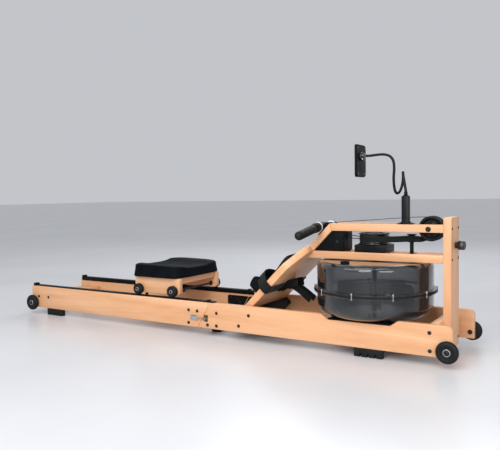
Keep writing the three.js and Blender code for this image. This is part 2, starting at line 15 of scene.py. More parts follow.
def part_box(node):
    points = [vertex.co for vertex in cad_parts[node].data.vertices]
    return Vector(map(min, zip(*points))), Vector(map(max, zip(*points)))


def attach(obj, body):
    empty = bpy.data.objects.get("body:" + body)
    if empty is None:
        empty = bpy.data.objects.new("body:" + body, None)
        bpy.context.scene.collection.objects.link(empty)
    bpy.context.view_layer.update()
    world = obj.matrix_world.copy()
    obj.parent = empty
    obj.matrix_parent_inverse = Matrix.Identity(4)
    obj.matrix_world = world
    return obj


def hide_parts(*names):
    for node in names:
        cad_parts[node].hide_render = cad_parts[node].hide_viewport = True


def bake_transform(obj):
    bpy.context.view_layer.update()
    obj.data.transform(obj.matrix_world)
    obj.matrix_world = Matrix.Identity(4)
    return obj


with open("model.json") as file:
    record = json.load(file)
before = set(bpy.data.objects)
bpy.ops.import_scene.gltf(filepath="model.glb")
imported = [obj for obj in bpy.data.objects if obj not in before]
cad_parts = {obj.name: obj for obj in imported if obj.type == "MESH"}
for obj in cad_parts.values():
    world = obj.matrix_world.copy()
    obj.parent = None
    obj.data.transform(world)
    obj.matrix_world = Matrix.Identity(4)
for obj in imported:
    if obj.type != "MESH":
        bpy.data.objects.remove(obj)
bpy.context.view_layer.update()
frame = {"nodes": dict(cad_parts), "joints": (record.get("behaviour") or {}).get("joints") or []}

MM = 0.001
RAIL_INNER, RAIL_OUTER = 150, 172
X, Y, Z = Vector((1, 0, 0)), Vector((0, 1, 0)), Vector((0, 0, 1))
SIDES = (("left", 1), ("right", -1))
UP_SLOPE = Vector((1, 0, 1)).normalized()
OFF_SLOPE = Vector((-1, 0, 1)).normalized()
FOLD = Vector((0, 0, 31))


def cad(node):
    """A CAD node's lowest and highest corner, in millimetres."""
    low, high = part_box(node)
    return low / MM, high / MM


def middle(node):
    low, high = cad(node)
    return (low + high) / 2


# ---------------------------------------------------------------- camera, light and floor
def make_camera():
    """A camera low in front of the tank end, turned back along the machine."""
    yaw, pitch, roll = (math.radians(a) for a in (31.93, 2.85, 0.90))
    look = Vector((-math.sin(yaw) * math.cos(pitch), math.cos(yaw) * math.cos(pitch), -math.sin(pitch)))
    level = Vector((math.cos(yaw), math.sin(yaw), 0))
    down = look.cross(level)
    right = math.cos(roll) * level + math.sin(roll) * down
    up = math.sin(roll) * level - math.cos(roll) * down
    data = bpy.data.cameras.new("camera")
    data.sensor_width = 36
    data.lens = 43.87
    data.shift_y = -0.002
    camera = bpy.data.objects.new("camera", data)
    bpy.context.scene.collection.objects.link(camera)
    turn = Matrix((right, up, -look)).transposed().to_4x4()
    camera.matrix_world = Matrix.Translation((1.5098, -2.1712, 0.5793)) @ turn
    bpy.context.scene.camera = camera


def area_light(name, spot, aim, size, power, colour=(1, 1, 1)):
    data = bpy.data.lights.new(name, "AREA")
    data.shape = "RECTANGLE"
    data.size, data.size_y = size
    data.energy = power
    data.color = colour
    light = bpy.data.objects.new(name, data)
    light.location = spot
    light.rotation_euler = (Vector(aim) - Vector(spot)).to_track_quat("-Z", "Y").to_euler()
    bpy.context.scene.collection.objects.link(light)


def make_studio():
    scene = bpy.context.scene
    scene.view_settings.view_transform = "Standard"
    world = bpy.data.worlds.new("studio")
    world.use_nodes = True
    background = world.node_tree.nodes["Background"]
    background.inputs["Color"].default_value = (0.80, 0.82, 0.86, 1)
    background.inputs["Strength"].default_value = 0.68
    scene.world = world
    area_light("key", (-1.2, -3.2, 3.4), (0.1, 0, 0.2), (2.6, 1.8), 42, (1, 0.98, 0.95))
    area_light("window", (0.8, -2.9, 1.75), (0.72, -0.2, 0.3), (1.2, 2.2), 56, (1, 0.99, 0.97))
    area_light("fill", (2.9, -2.4, 1.25), (0.5, 0, 0.3), (1.6, 1.3), 32, (0.97, 0.98, 1))
    area_light("top", (0.9, -1.0, 2.8), (0.6, 0, 0.3), (2.4, 0.5), 16)
    area_light("rim", (-0.6, 3.2, 2.6), (0, 0, 0.2), (3.0, 1.4), 44, (0.95, 0.97, 1))

    look = Look("studio_floor", Roughness=0.3)
    speckle = look.texture("Noise", look.place(), Scale=1.3, Detail=3)
    look.paint(Base_Color=look.ramp(speckle, (0.3, (0.60, 0.605, 0.63)), (0.7, (0.66, 0.665, 0.685))))
    bm = bmesh.new()
    bmesh.ops.create_grid(bm, x_segments=4, y_segments=4, size=40)
    mesh = bpy.data.meshes.new("studio_floor")
    bm.to_mesh(mesh)
    bm.free()
    floor = bpy.data.objects.new("studio_floor", mesh)
    floor.location.z = -0.0005
    mesh.materials.append(look.material)
    scene.collection.objects.link(floor)


# ---------------------------------------------------------------- materials
def srgb(text):
    """A linear colour from six hex digits."""
    parts = [int(text[i:i + 2], 16) / 255 for i in (0, 2, 4)]
    return [p / 12.92 if p <= 0.04045 else ((p + 0.055) / 1.055) ** 2.4 for p in parts]


class Look:
    """A Principled material under construction, with short ways to add the nodes that feed it."""

    def __init__(self, name, **sockets):
        self.material = bpy.data.materials.new(name)
        self.material.use_nodes = True
        self.tree = self.material.node_tree
        self.shader = self.tree.nodes["Principled BSDF"]
        self.fill(self.shader, sockets)

    def fill(self, node, sockets):
        """Sets a node's sockets by name. A value that is itself a socket is linked."""
        for name, value in sockets.items():
            socket = node.inputs[name.replace("_", " ")]
            if isinstance(value, bpy.types.NodeSocket):
                self.tree.links.new(value, socket)
            else:
                socket.default_value = value

    def node(self, kind, **sockets):
        node = self.tree.nodes.new(f"ShaderNode{kind}")
        self.fill(node, sockets)
        return node

    def paint(self, **sockets):
        self.fill(self.shader, sockets)

    def place(self):
        """Object coordinates, in metres."""
        return self.node("TexCoord").outputs["Object"]

    def lay(self):
        """Each piece's own coordinates in metres: along the grain or the weave, then across it."""
        lay = self.node("Attribute")
        lay.attribute_name = "lay"
        return lay.outputs["Vector"]

    def stretched(self, vector, scale):
        return self.node("Mapping", Vector=vector, Scale=scale).outputs["Vector"]

    def texture(self, kind, vector, **sockets):
        """The value of a Noise, Voronoi or Wave texture."""
        node = self.node(f"Tex{kind}", Vector=vector, **sockets)
        return node.outputs["Distance" if kind == "Voronoi" else "Fac"]

    def ramp(self, factor, *stops):
        """A colour ramp from (position, colour or grey level) stops."""
        node = self.node("ValToRGB", Fac=factor)
        elements = node.color_ramp.elements
        while len(elements) < len(stops):
            elements.new(0.5)
        for element, (position, colour) in zip(elements, stops):
            element.position = position
            element.color = (*colour, 1) if hasattr(colour, "__len__") else (colour, colour, colour, 1)
        return node.outputs["Color"]

    def multiplied(self, factor, a, b):
        """Two colours multiplied, by a share of factor."""
        node = self.node("Mix")
        node.data_type = "RGBA"
        node.blend_type = "MULTIPLY"
        node.inputs[0].default_value = factor
        self.tree.links.new(a, node.inputs[6])
        self.tree.links.new(b, node.inputs[7])
        return node.outputs[2]

    def bump(self, height, distance, strength=1.0):
        node = self.node("Bump", Strength=strength, Distance=distance, Height=height)
        self.paint(Normal=node.outputs["Normal"])


def make_beech():
    """Pale beech under satin lacquer: soft bands, fine fibres and short dark rays along the grain."""
    look = Look("beech", Coat_Weight=0.22, Coat_Roughness=0.28, Specular_IOR_Level=0.4)
    lay = look.lay()
    bands = look.texture("Noise", look.stretched(lay, (1.6, 17, 17)),
                         Scale=1, Detail=5, Roughness=0.55, Distortion=0.5)
    fibres = look.texture("Noise", look.stretched(lay, (9, 420, 420)), Scale=1, Detail=3, Roughness=0.6)
    rays = look.texture("Voronoi", look.stretched(lay, (110, 640, 640)), Scale=1, Randomness=1)
    wood = look.ramp(bands, (0.28, srgb("D49A6C")), (0.5, srgb("E0A97D")), (0.74, srgb("EAB88F")))
    wood = look.multiplied(0.8, wood, look.ramp(fibres, (0.3, 0.86), (0.7, 1.0)))
    wood = look.multiplied(0.35, wood, look.ramp(rays, (0.06, srgb("B98358")), (0.2, (1, 1, 1))))
    look.paint(Base_Color=wood, Roughness=look.ramp(fibres, (0.3, 0.56), (0.7, 0.42)))
    look.bump(fibres, 0.00012, 0.5)
    return look.material


def make_dark(name, low, high, roughness, grain, depth, **sockets):
    """A dark moulded, cast or coated surface: fine grain in relief, slow changes of tone and gloss."""
    look = Look(name, **sockets)
    place = look.place()
    clouds = look.texture("Noise", place, Scale=22, Detail=4, Roughness=0.6)
    fine = look.texture("Noise", place, Scale=grain, Detail=2, Roughness=0.5)
    look.paint(Base_Color=look.ramp(clouds, (0.3, srgb(low)), (0.7, srgb(high))),
               Roughness=look.ramp(clouds, (0.3, roughness - 0.05), (0.7, roughness + 0.06)))
    look.bump(fine, depth)
    return look.material


def make_steel(name, low, high):
    """Plated steel with fine brushing."""
    look = Look(name, Metallic=1.0)
    lines = look.texture("Noise", look.stretched(look.place(), (60, 60, 1900)),
                         Scale=1, Detail=3, Roughness=0.6)
    look.paint(Base_Color=look.ramp(lines, (0.3, srgb(low)), (0.7, srgb(high))),
               Roughness=look.ramp(lines, (0.3, 0.22), (0.7, 0.38)))
    look.bump(lines, 0.00003)
    return look.material


def make_webbing():
    """Black woven band: ribs along it, crossed by a finer weft."""
    look = Look("webbing", Specular_IOR_Level=0.25, Sheen_Weight=0.06, Roughness=0.72)
    lay = look.lay()
    warp = look.texture("Wave", look.stretched(lay, (0, 1, 0)), Scale=120, Distortion=0)
    turned = look.node("VectorRotate", Vector=lay, Angle=math.radians(34))
    turned.rotation_type = "Z_AXIS"
    weft = look.texture("Wave", turned.outputs["Vector"], Scale=190, Distortion=0.4)
    weave = look.multiplied(0.7, warp, weft)
    look.paint(Base_Color=look.ramp(weave, (0.1, srgb("060708")), (0.9, srgb("16181B"))))
    look.bump(weave, 0.0003, 0.7)
    return look.material


def make_smoked():
    """Smoked clear plastic: thin to look through face on and denser where it turns away."""
    look = Look("smoked_plastic", Roughness=0.045, IOR=1.5, Coat_Weight=1.0, Coat_Roughness=0.03)
    streaks = look.texture("Noise", look.place(), Scale=5, Detail=3)
    turned_away = look.node("LayerWeight", Blend=0.5).outputs["Facing"]
    density = look.ramp(turned_away, (0.0, 0.44), (0.28, 0.50), (0.40, 0.88), (0.68, 0.93),
                        (0.86, 0.76), (1.0, 0.9))
    look.paint(Base_Color=look.ramp(streaks, (0.3, srgb("14181C")), (0.7, srgb("22282D"))),
               Alpha=density)
    return look.material


def make_saddle_skin():
    """Self-skinned foam with a leather grain."""
    look = Look("saddle_skin", Specular_IOR_Level=0.03)
    place = look.place()
    cells = look.texture("Voronoi", place, Scale=520)
    clouds = look.texture("Noise", place, Scale=14, Detail=5)
    look.paint(Base_Color=look.ramp(clouds, (0.3, srgb("080A0D")), (0.75, srgb("11151A"))),
               Roughness=look.ramp(clouds, (0.3, 0.46), (0.7, 0.6)))
    look.bump(cells, 0.00035, 0.6)
    return look.material


def make_screen():
    """A liquid crystal display behind clear plastic, switched off."""
    look = Look("display", Roughness=0.08, Coat_Weight=1.0, Coat_Roughness=0.02)
    dots = look.texture("Wave", look.place(), Scale=420)
    look.paint(Base_Color=look.ramp(dots, (0.2, srgb("39443F")), (0.8, srgb("46524B"))))
    return look.material


make_camera()
make_studio()
BEECH = make_beech()
RUBBER = make_dark("rubber", "08090A", "121315", 0.6, 700, 0.00012, Specular_IOR_Level=0.28)
PLASTIC = make_dark("black_plastic", "040506", "0A0C0E", 0.46, 1100, 0.00008, Specular_IOR_Level=0.12)
COATED = make_dark("black_metal", "050607", "0C0E11", 0.34, 1500, 0.00005, Specular_IOR_Level=0.2)
BLACKED = make_dark("black_bolts", "050607", "101113", 0.3, 900, 0.00004, Specular_IOR_Level=0.4)
GLOSSY = make_dark("gloss_plastic", "050607", "0C0D0F", 0.26, 900, 0.00002, Coat_Weight=0.25,
                   Coat_Roughness=0.12)
STEEL = make_steel("bright_steel", "A9ABAE", "D2D3D4")
BRASS = make_steel("passivated_steel", "5E5138", "94835C")
WEBBING = make_webbing()
SMOKED = make_smoked()
SKIN = make_saddle_skin()
# Near-white for the handle's rings: a painted highlight, standing in for the bright line of light on them.
PAINTED_HIGHLIGHT_WHITE = make_dark("pale_ring", "DCDDDF", "EEEEEE", 0.3, 800, 0.00004)
SCREEN = make_screen()


# ---------------------------------------------------------------- mesh tools
def add(name, bm, material, body="front_frame", replaces=(), along=X, smooth=34):
    """Makes a piece from a mesh drawn in millimetres. along is the way its grain runs. A piece given no
    body is left unattached."""
    bmesh.ops.recalc_face_normals(bm, faces=bm.faces)
    bm.transform(Matrix.Scale(MM, 4))
    layer = bm.verts.layers.float_vector.get("lay")
    if layer is None:
        layer = bm.verts.layers.float_vector.new("lay")
        across = along.cross(Y if abs(along.y) < 0.9 else Z).normalized()
        third = along.cross(across)
        shift = Vector((sum(map(ord, name)) * 0.37 % 5, len(name) * 0.61 % 3, 0))
        for v in bm.verts:
            v[layer] = Vector((v.co.dot(along), v.co.dot(across), v.co.dot(third))) + shift
    mesh = bpy.data.meshes.new(name)
    bm.to_mesh(mesh)
    bm.free()
    mesh.shade_smooth()
    mesh.set_sharp_from_angle(angle=math.radians(smooth))
    mesh.materials.append(material)
    piece = bpy.data.objects.new(name, mesh)
    bpy.context.scene.collection.objects.link(piece)
    if body:
        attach(piece, body)
    if replaces:
        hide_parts(*replaces)
    return piece


def copy_of(node):
    """A CAD node's mesh in millimetres, with its flat faces whole."""
    bm = bmesh.new()
    bm.from_mesh(frame["nodes"][node].data)
    bm.transform(Matrix.Scale(1 / MM, 4))
    bmesh.ops.remove_doubles(bm, verts=bm.verts, dist=0.01)
    bmesh.ops.dissolve_limit(bm, angle_limit=math.radians(1), verts=bm.verts, edges=bm.edges)
    return bm


def ease(bm, radius, segments=3, angle=28, shortest=2.4):
    """Rounds the sharp edges. Edges shorter than shortest, as round a bore, stay as they are."""
    sharp = [e for e in bm.edges if len(e.link_faces) == 2 and e.calc_length() > shortest
             and e.calc_face_angle(0) > math.radians(angle)]
    bmesh.ops.bevel(bm, geom=sharp, offset=radius, segments=segments, profile=0.5,
                    affect="EDGES", clamp_overlap=True)
    return bm


def block(bm, low, high, radius=1.0, segments=2):
    """Adds a box with rounded edges."""
    low, high = Vector(low), Vector(high)
    made = bmesh.ops.create_cube(bm, size=1)["verts"]
    size = high - low
    for v in made:
        v.co = (low + high) / 2 + Vector((v.co.x * size.x, v.co.y * size.y, v.co.z * size.z))
    edges = {e for v in made for e in v.link_edges}
    bmesh.ops.bevel(bm, geom=list(edges), offset=radius, segments=segments, profile=0.5,
                    affect="EDGES", clamp_overlap=True)
    return bm


def rounded(points, radius, steps=4, closed=True):
    """A polygon with its corners turned into curves."""
    result = []
    count = len(points)
    for i, corner in enumerate(points):
        if not closed and i in (0, count - 1):
            result.append(tuple(corner))
            continue
        here = Vector(corner)
        before, after = Vector(points[i - 1]), Vector(points[(i + 1) % count])
        reach = min(radius, (before - here).length * 0.48, (after - here).length * 0.48)
        start = here + (before - here).normalized() * reach
        end = here + (after - here).normalized() * reach
        for step in range(steps + 1):
            t = step / steps
            result.append(tuple(start * (1 - t) ** 2 + here * 2 * t * (1 - t) + end * t * t))
    return result


def prism(bm, outline, low, high, place):
    """Extrudes an outline of (a, b) pairs from c = low to high. place turns (a, b, c) into a point."""
    bottom = [bm.verts.new(place(a, b, low)) for a, b in outline]
    top = [bm.verts.new(place(a, b, high)) for a, b in outline]
    bm.faces.new(bottom[::-1])
    bm.faces.new(top)
    for i in range(len(outline)):
        j = (i + 1) % len(outline)
        bm.faces.new((bottom[i], bottom[j], top[j], top[i]))
    return bm


def across_y(a, b, c):
    """Drawn in the side view, extruded across the machine."""
    return Vector((a, c, b))


def cover(bm, rings):
    """Joins each ring of vertices to the next. A ring of one vertex closes the shape to a point."""
    for a, b in zip(rings, rings[1:]):
        count = max(len(a), len(b))
        for s in range(count):
            t = (s + 1) % count
            corners = [a[s % len(a)], a[t % len(a)], b[t % len(b)], b[s % len(b)]]
            corners = [v for i, v in enumerate(corners) if v not in corners[:i]]
            if len(corners) > 2:
                bm.faces.new(corners)


def include(bm, part, turn):
    """Adds a part's mesh, turned into place."""
    part.transform(turn)
    mesh = bpy.data.meshes.new("part")
    part.to_mesh(mesh)
    part.free()
    bm.from_mesh(mesh)
    bpy.data.meshes.remove(mesh)


def lathe(bm, profile, centre=(0, 0, 0), axis=Z, segments=48, ring=False, wobble=None):
    """Turns (radius, height) pairs about an axis. A radius of 0 is a point on the axis. With ring the
    profile closes on itself. wobble(index, angle) scales the radius of profile point index."""
    axis = axis.normalized()
    side = axis.cross(Y if abs(axis.y) < 0.9 else X).normalized()
    third = axis.cross(side)
    centre = Vector(centre)
    rings = []
    for index, (radius, height) in enumerate(profile):
        base = centre + axis * height
        if radius == 0:
            rings.append([bm.verts.new(base)])
            continue
        made = []
        for s in range(segments):
            angle = 2 * math.pi * s / segments
            r = radius * (wobble(index, angle) if wobble else 1)
            made.append(bm.verts.new(base + side * r * math.cos(angle) + third * r * math.sin(angle)))
        rings.append(made)
    cover(bm, rings + rings[:1] if ring else rings)
    return bm


def rod(bm, radius, length, centre, axis, segments=24):
    """Adds a plain cylinder that starts at its centre."""
    return lathe(bm, [(0, 0), (radius, 0), (radius, length), (0, length)], centre, axis, segments)


def sleeve(bm, bore, radius, length, centre, axis, segments=28):
    """Adds a plain tube that starts at its centre."""
    profile = [(bore, 0), (radius, 0), (radius, length), (bore, length)]
    return lathe(bm, profile, centre, axis, segments, ring=True)


def curve_through(points, per_span=8):
    """A smooth path through points (Catmull-Rom)."""
    points = [Vector(p) for p in points]
    ends = [points[0] * 2 - points[1], *points, points[-1] * 2 - points[-2]]
    path = []
    for i in range(1, len(ends) - 2):
        a, b, c, d = ends[i - 1:i + 3]
        for step in range(per_span):
            t = step / per_span
            path.append(0.5 * (2 * b + (c - a) * t + (2 * a - 5 * b + 4 * c - d) * t * t
                               + (3 * b - a - 3 * c + d) * t ** 3))
    return [*path, points[-1]]


def sweep(bm, path, section, side, grow=None):
    """Carries a section of (a, b) pairs along a path. side is the section's a direction at the start,
    carried without twist, or a list of one direction for each point. grow(distance) scales it."""
    layer = bm.verts.layers.float_vector.get("lay") or bm.verts.layers.float_vector.new("lay")
    rings, distance = [], 0.0
    for i, spot in enumerate(path):
        ahead = (path[min(i + 1, len(path) - 1)] - path[max(i - 1, 0)]).normalized()
        want = side[i] if isinstance(side, list) else side
        a_way = (want - ahead * want.dot(ahead)).normalized()
        b_way = ahead.cross(a_way)
        if not isinstance(side, list):
            side = a_way
        distance += (spot - path[i - 1]).length if i else 0
        size = grow(distance) if grow else 1
        made = []
        for a, b in section:
            v = bm.verts.new(spot + a_way * a * size + b_way * b * size)
            v[layer] = Vector((distance, a, b)) * MM
            made.append(v)
        rings.append(made)
    for a, b in zip(rings, rings[1:]):
        for s in range(len(section)):
            t = (s + 1) % len(section)
            bm.faces.new((a[s], a[t], b[t], b[s]))
    bm.faces.new(rings[0][::-1])
    bm.faces.new(rings[-1])
    return bm


def disc(radius, sides=20):
    return [(radius * math.cos(2 * math.pi * s / sides), radius * math.sin(2 * math.pi * s / sides))
            for s in range(sides)]


def band(half, thickness):
    """The section of a strap or belt, with rolled edges."""
    t = thickness / 2
    return [(-half, -t * 0.3), (-half + t, -t), (half - t, -t), (half, -t * 0.3),
            (half, t * 0.3), (half - t, t), (-half + t, t), (-half, t * 0.3)]


def hexagon(indices):
    """A wobble that turns some of a profile's rings into hexagons."""
    def wobble(index, angle):
        if index not in indices:
            return 1
        return 1 / math.cos((angle + math.pi / 6) % (math.pi / 3) - math.pi / 6)
    return wobble


def bolt(bm, spot, outward, radius=6.8, height=2.6):
    """Adds a button head screw with a hexagon socket, sunk 1 mm into its face."""
    socket = radius * 0.46
    profile = [(0, -1), (radius, -1), (radius, 0.5), (radius * 0.82, height * 0.72),
               (socket * 1.12, height), (socket, height - 0.2), (socket, height - 1.5), (0, height - 1.5)]
    return lathe(bm, profile, spot, outward, 24, wobble=hexagon({4, 5, 6}))


def hex_head(bm, spot, outward, radius, height, washer=0.0):
    """Adds a hexagon head or nut on a round washer."""
    if washer:
        lathe(bm, [(0, 0), (washer, 0), (washer, 0.9), (washer - 0.4, 1.3), (0, 1.3)], spot, outward, 32)
    profile = [(0, 0.6), (radius, 0.6), (radius, height - 0.6), (radius * 0.9, height), (0, height)]
    return lathe(bm, profile, spot, outward, 24, wobble=hexagon({1, 2}))


# ---------------------------------------------------------------- boards
def make_boards():
    """Every beech board, with its edges rounded over."""
    boards = [("rear_crossmember", "rear_frame", Y, 3), ("front_crossmember", "front_frame", Y, 2),
              ("front_column", "front_frame", Z, 3), ("footboard", "front_frame", Y, 3),
              ("seat_board", "seat", Y, 2)]
    for side, _ in SIDES:
        boards += [(f"front_rail_{side}", "front_frame", X, 2.5),
                   (f"rear_rail_{side}", "rear_frame", X, 2.5),
                   (f"top_beam_{side}", "front_frame", X, 2), (f"mid_beam_{side}", "front_frame", X, 2),
                   (f"diagonal_{side}", "front_frame", UP_SLOPE, 2), (f"seat_cheek_{side}", "seat", X, 2.5)]
    for node, body, along, radius in boards:
        add(f"{node}_board", ease(copy_of(node), radius), BEECH, body, [node], along)


# ---------------------------------------------------------------- wheels
def make_wheel(node, carrier, sign):
    """A soft tyre on a dished hub, with the axle bolt's washer and head in the dish."""
    low, high = cad(node)
    centre = (low + high) / 2
    radius, width = (high.z - low.z) / 2, high.y - low.y
    half, bore, dish = width / 2, 5.4, 20.5
    tread = [(bore, -half), (radius - 10, -half), (radius - 3.2, -half + 2.4), (radius - 0.7, -half + 6),
             (radius, 0), (radius - 0.7, half - 6), (radius - 3.2, half - 2.4), (radius - 9, half),
             (radius - 12, half), (radius - 13, half - 1.2), (dish + 1.5, half - 1.2), (dish, half - 1.8),
             (dish - 0.5, half - 4.4), (bore, half - 4.4)]
    bm = lathe(bmesh.new(), rounded(tread, 1.6, 3), centre, Y * sign, 72, ring=True)
    add(f"{node}_tyre", bm, RUBBER, node, [node], smooth=40)
    bm = bmesh.new()
    face = centre + Y * sign * (half - 4.2)
    washer = [(10, 0), (12.4, 0), (12.4, 1.4), (11.9, 1.9), (10.4, 1.9), (10, 1.4)]
    lathe(bm, washer, face, Y * sign, 40, ring=True)
    replaced = [node.replace("wheel", "axle_bolt")] if node.startswith("front") else []
    inner = Vector((centre.x, sign * RAIL_INNER, centre.z))
    rod(bm, 4.9, 40, inner, Y * sign)
    add(f"{node}_washer", bm, STEEL, carrier)
    bm = bolt(bmesh.new(), face + Y * sign, Y * sign, 9.8, 4)
    bolt(bm, inner, -Y * sign, 9, 5)
    add(f"{node}_axle_bolt", bm, BLACKED, carrier, replaced)


def make_wheels():
    for side, sign in SIDES:
        for end, carrier in (("front", "front_axle"), ("rear", "rear_frame")):
            make_wheel(f"{end}_wheel_{side}", carrier, sign)


# ---------------------------------------------------------------- feet and cross bars
def make_feet():
    for end in ("front", "rear"):
        for side, _ in SIDES:
            node = f"{end}_foot_{side}"
            add(f"{node}_block", ease(copy_of(node), 1.6), RUBBER, f"{end}_frame", [node])
    add("middle_foot_rubber", ease(copy_of("middle_foot_bar"), 2.5), RUBBER, replaces=["middle_foot_bar"])
    for node, radius, piece in (("footboard_bracket", 3, "bracket_block"),
                                ("tank_cradle", 1.2, "cradle_plate"),
                                ("handle_rest", 2.5, "handle_rest_pad")):
        add(piece, ease(copy_of(node), radius), PLASTIC, replaces=[node])


# ---------------------------------------------------------------- rail hardware
def make_rail_bolts():
    """Black screws on the rails' outer faces."""
    front = [(52, 46), (97, 98), (96, 46), (250, 102), (203, 57), (955, 111), (956, 50)]
    rear = [(-44, 100), (0, 99), (-45, 47), (-980, 86), (-911, 86)]
    for side, sign in SIDES:
        face = cad(f"front_rail_{side}")[1 if sign > 0 else 0].y
        for body, spots in (("front_frame", front), ("rear_frame", rear)):
            bm = bmesh.new()
            for x, z in spots:
                bolt(bm, (x, face, z), Y * sign)
            add(f"{body}_bolts_{side}", bm, BLACKED, body)


def make_hinge_leaf(end, side, sign, outline, nuts, knuckle):
    """One steel leaf on a rail's inner face, with its nuts and its knuckle on the fold line."""
    near, far = (RAIL_INNER - depth for depth in (0.2, 2.6))
    bm = prism(bmesh.new(), rounded(outline, 7), *sorted((sign * near, sign * far)), across_y)
    if end == "rear":
        boss = [(0, 0), (34, 0), (34, 3.2), (31.5, 4.6), (27, 4.6), (25.5, 3.2), (10, 3.2), (8, 4.4),
                (0, 4.4)]
        lathe(bm, boss, (-18, sign * (RAIL_INNER - 2.4), 68), -Y * sign, 56)
    else:
        lug = sorted(sign * (RAIL_INNER - depth) for depth in (3, 13))
        block(bm, (0, lug[0], 36), (22, lug[1], 42), 1)
    sleeve(bm, 4.2, 8.5, 10, FOLD + Y * sign * (RAIL_INNER - knuckle), -Y * sign)
    for x, z in nuts:
        hex_head(bm, (x, sign * far, z), -Y * sign, 5, 4, 7)
    add(f"hinge_leaf_{end}_{side}", ease(bm, 0.6, 2, 50, 3), COATED, f"{end}_frame")


def make_hinges():
    """The two leaves and the pin of the fold, on each side."""
    rear = [(-62, 38), (2, 38), (50, 115), (-62, 115)]
    front = [(8, 38), (128, 38), (128, 112), (110, 115), (55, 115)]
    for side, sign in SIDES:
        make_hinge_leaf("rear", side, sign, rear, ((-44, 100), (0, 99), (-45, 47)), knuckle=14)
        make_hinge_leaf("front", side, sign, front, ((52, 46), (97, 98), (96, 46)), knuckle=3)
        pin = [(0, 0), (6, 0), (6, 2), (4, 2), (4, 24), (0, 24)]
        bm = lathe(bmesh.new(), pin, FOLD + Y * sign * (RAIL_INNER - 26), Y * sign, 24)
        add(f"hinge_pin_{side}", bm, STEEL)


def make_latches():
    """Draw latches: a pressed lever with rolled edges and a wire bail, and a hooked catch."""
    for side, sign in SIDES:
        def out(x, depth, z, sign=sign):
            return Vector((x, sign * (RAIL_OUTER + depth), z))

        def plate(bm, outline, radius, *depths, sign=sign):
            faces = sorted(sign * (RAIL_OUTER + depth) for depth in depths)
            return prism(bm, rounded(outline, radius), *faces, across_y)

        node = f"latch_lever_{side}"
        lift = (cad(node)[0].z + 79) / 2
        lever = [(-30, 63), (4, 63.5), (7, 66), (7, 75), (4, 78), (-30, 78.5)]
        bm = plate(bmesh.new(), lever, 3, 6.2, 7.6)
        for z in (63.6, 77.4):
            path = [out(x, 6.6 - 1.6 * (x > 0), z) for x in (-28, -14, 0, 5)]
            sweep(bm, path, disc(1.1, 10), Z)
        lathe(bm, [(0, -8.5), (2.4, -8.5), (2.4, 8.5), (0, 8.5)], out(-27, 4.4, lift), Z, 20)
        bail = [out(2, 5, 67.3), out(20, 5.6, 66.8), out(36, 5.4, 66.8), out(39.2, 5.2, 70.5),
                out(36, 5.4, 74.4), out(20, 5.6, 74.4), out(2, 5, 73.9)]
        sweep(bm, curve_through(bail, 5), disc(1.05, 10), Y)
        add(f"{node}_pressing", bm, STEEL, f"latch_{side}", [node])
        bm = plate(bmesh.new(), [(-31, 59), (-6, 59), (-6, 82), (-31, 82)], 2.5, 0, 1.2)
        for z in (62.5, 78.5):
            lathe(bm, [(0, 1), (2.6, 1), (2.2, 2.2), (0, 2.4)], out(-12, 0, z), Y * sign, 16)
        add(f"latch_base_{side}", bm, STEEL, "rear_frame")
        bm = plate(bmesh.new(), [(34, 59), (54, 59), (54, 86), (34, 86)], 2.5, 0, 1.2)
        hook = [out(44, 0.8, 70.5), out(40, 3.4, 70.5), out(36, 7.6, 70.5), out(33.4, 8, 70.5)]
        sweep(bm, curve_through(hook, 5), band(4.5, 1.2), Z)
        add(f"latch_catch_{side}", bm, BRASS)
        bm = bmesh.new()
        for z in (63, 81):
            bolt(bm, out(48, 1, z), Y * sign, 3.6, 1.8)
        add(f"latch_screws_{side}", bm, BLACKED)


# ---------------------------------------------------------------- tracks and seat
def make_tracks():
    """Strips along the rear rails, with an end cap, a rubber stop and two fine ridges."""
    for side, _ in SIDES:
        node = f"track_{side}"
        low, high = cad(node)
        bm = ease(copy_of(node), 0.9, 2)
        mid = (low.y + high.y) / 2
        block(bm, (low.x - 1, low.y - 0.4, low.z), (low.x + 15, high.y + 0.4, high.z + 8), 3, 3)
        block(bm, (44, mid - 9, high.z - 0.5), (58, mid + 9, high.z + 5), 2, 3)
        for y in (mid - 6, mid + 6):
            block(bm, (low.x + 16, y - 0.5, high.z - 1), (41, y + 0.5, high.z + 0.25), 0.3, 1)
        add(f"{node}_strip", bm, PLASTIC, "rear_frame", [node])


def make_roller(node):
    """A seat roller's tyre, and the ring and screw in its hub."""
    low, high = cad(node)
    centre = (low + high) / 2
    outward = Y if centre.y > 0 else -Y
    radius, half = (high.z - low.z) / 2, (high.y - low.y) / 2
    tread = [(4.2, -half), (radius - 5, -half), (radius, -half + 3.5), (radius, half - 3.5),
             (radius - 4, half),
             (radius - 7.5, half), (radius - 8.5, half - 1.6), (9.5, half - 1.6), (8.5, half - 0.6),
             (6, half - 0.6), (5.5, half - 2.5), (4.2, half - 2.5)]
    bm = lathe(bmesh.new(), rounded(tread, 1.2, 3), centre, outward, 56, ring=True)
    add(f"{node}_tyre", bm, RUBBER, node, [node], smooth=40)
    face = centre + outward * (half - 2.4)
    hub = [(6.2, 0), (8.3, 0), (8.3, 1.8), (7.9, 2.3), (6.6, 2.3), (6.2, 1.8)]
    add(f"{node}_ring", lathe(bmesh.new(), hub, face, outward, 32, ring=True), STEEL, "seat")
    add(f"{node}_screw", bolt(bmesh.new(), face + outward, outward, 6, 2), BLACKED, "seat")


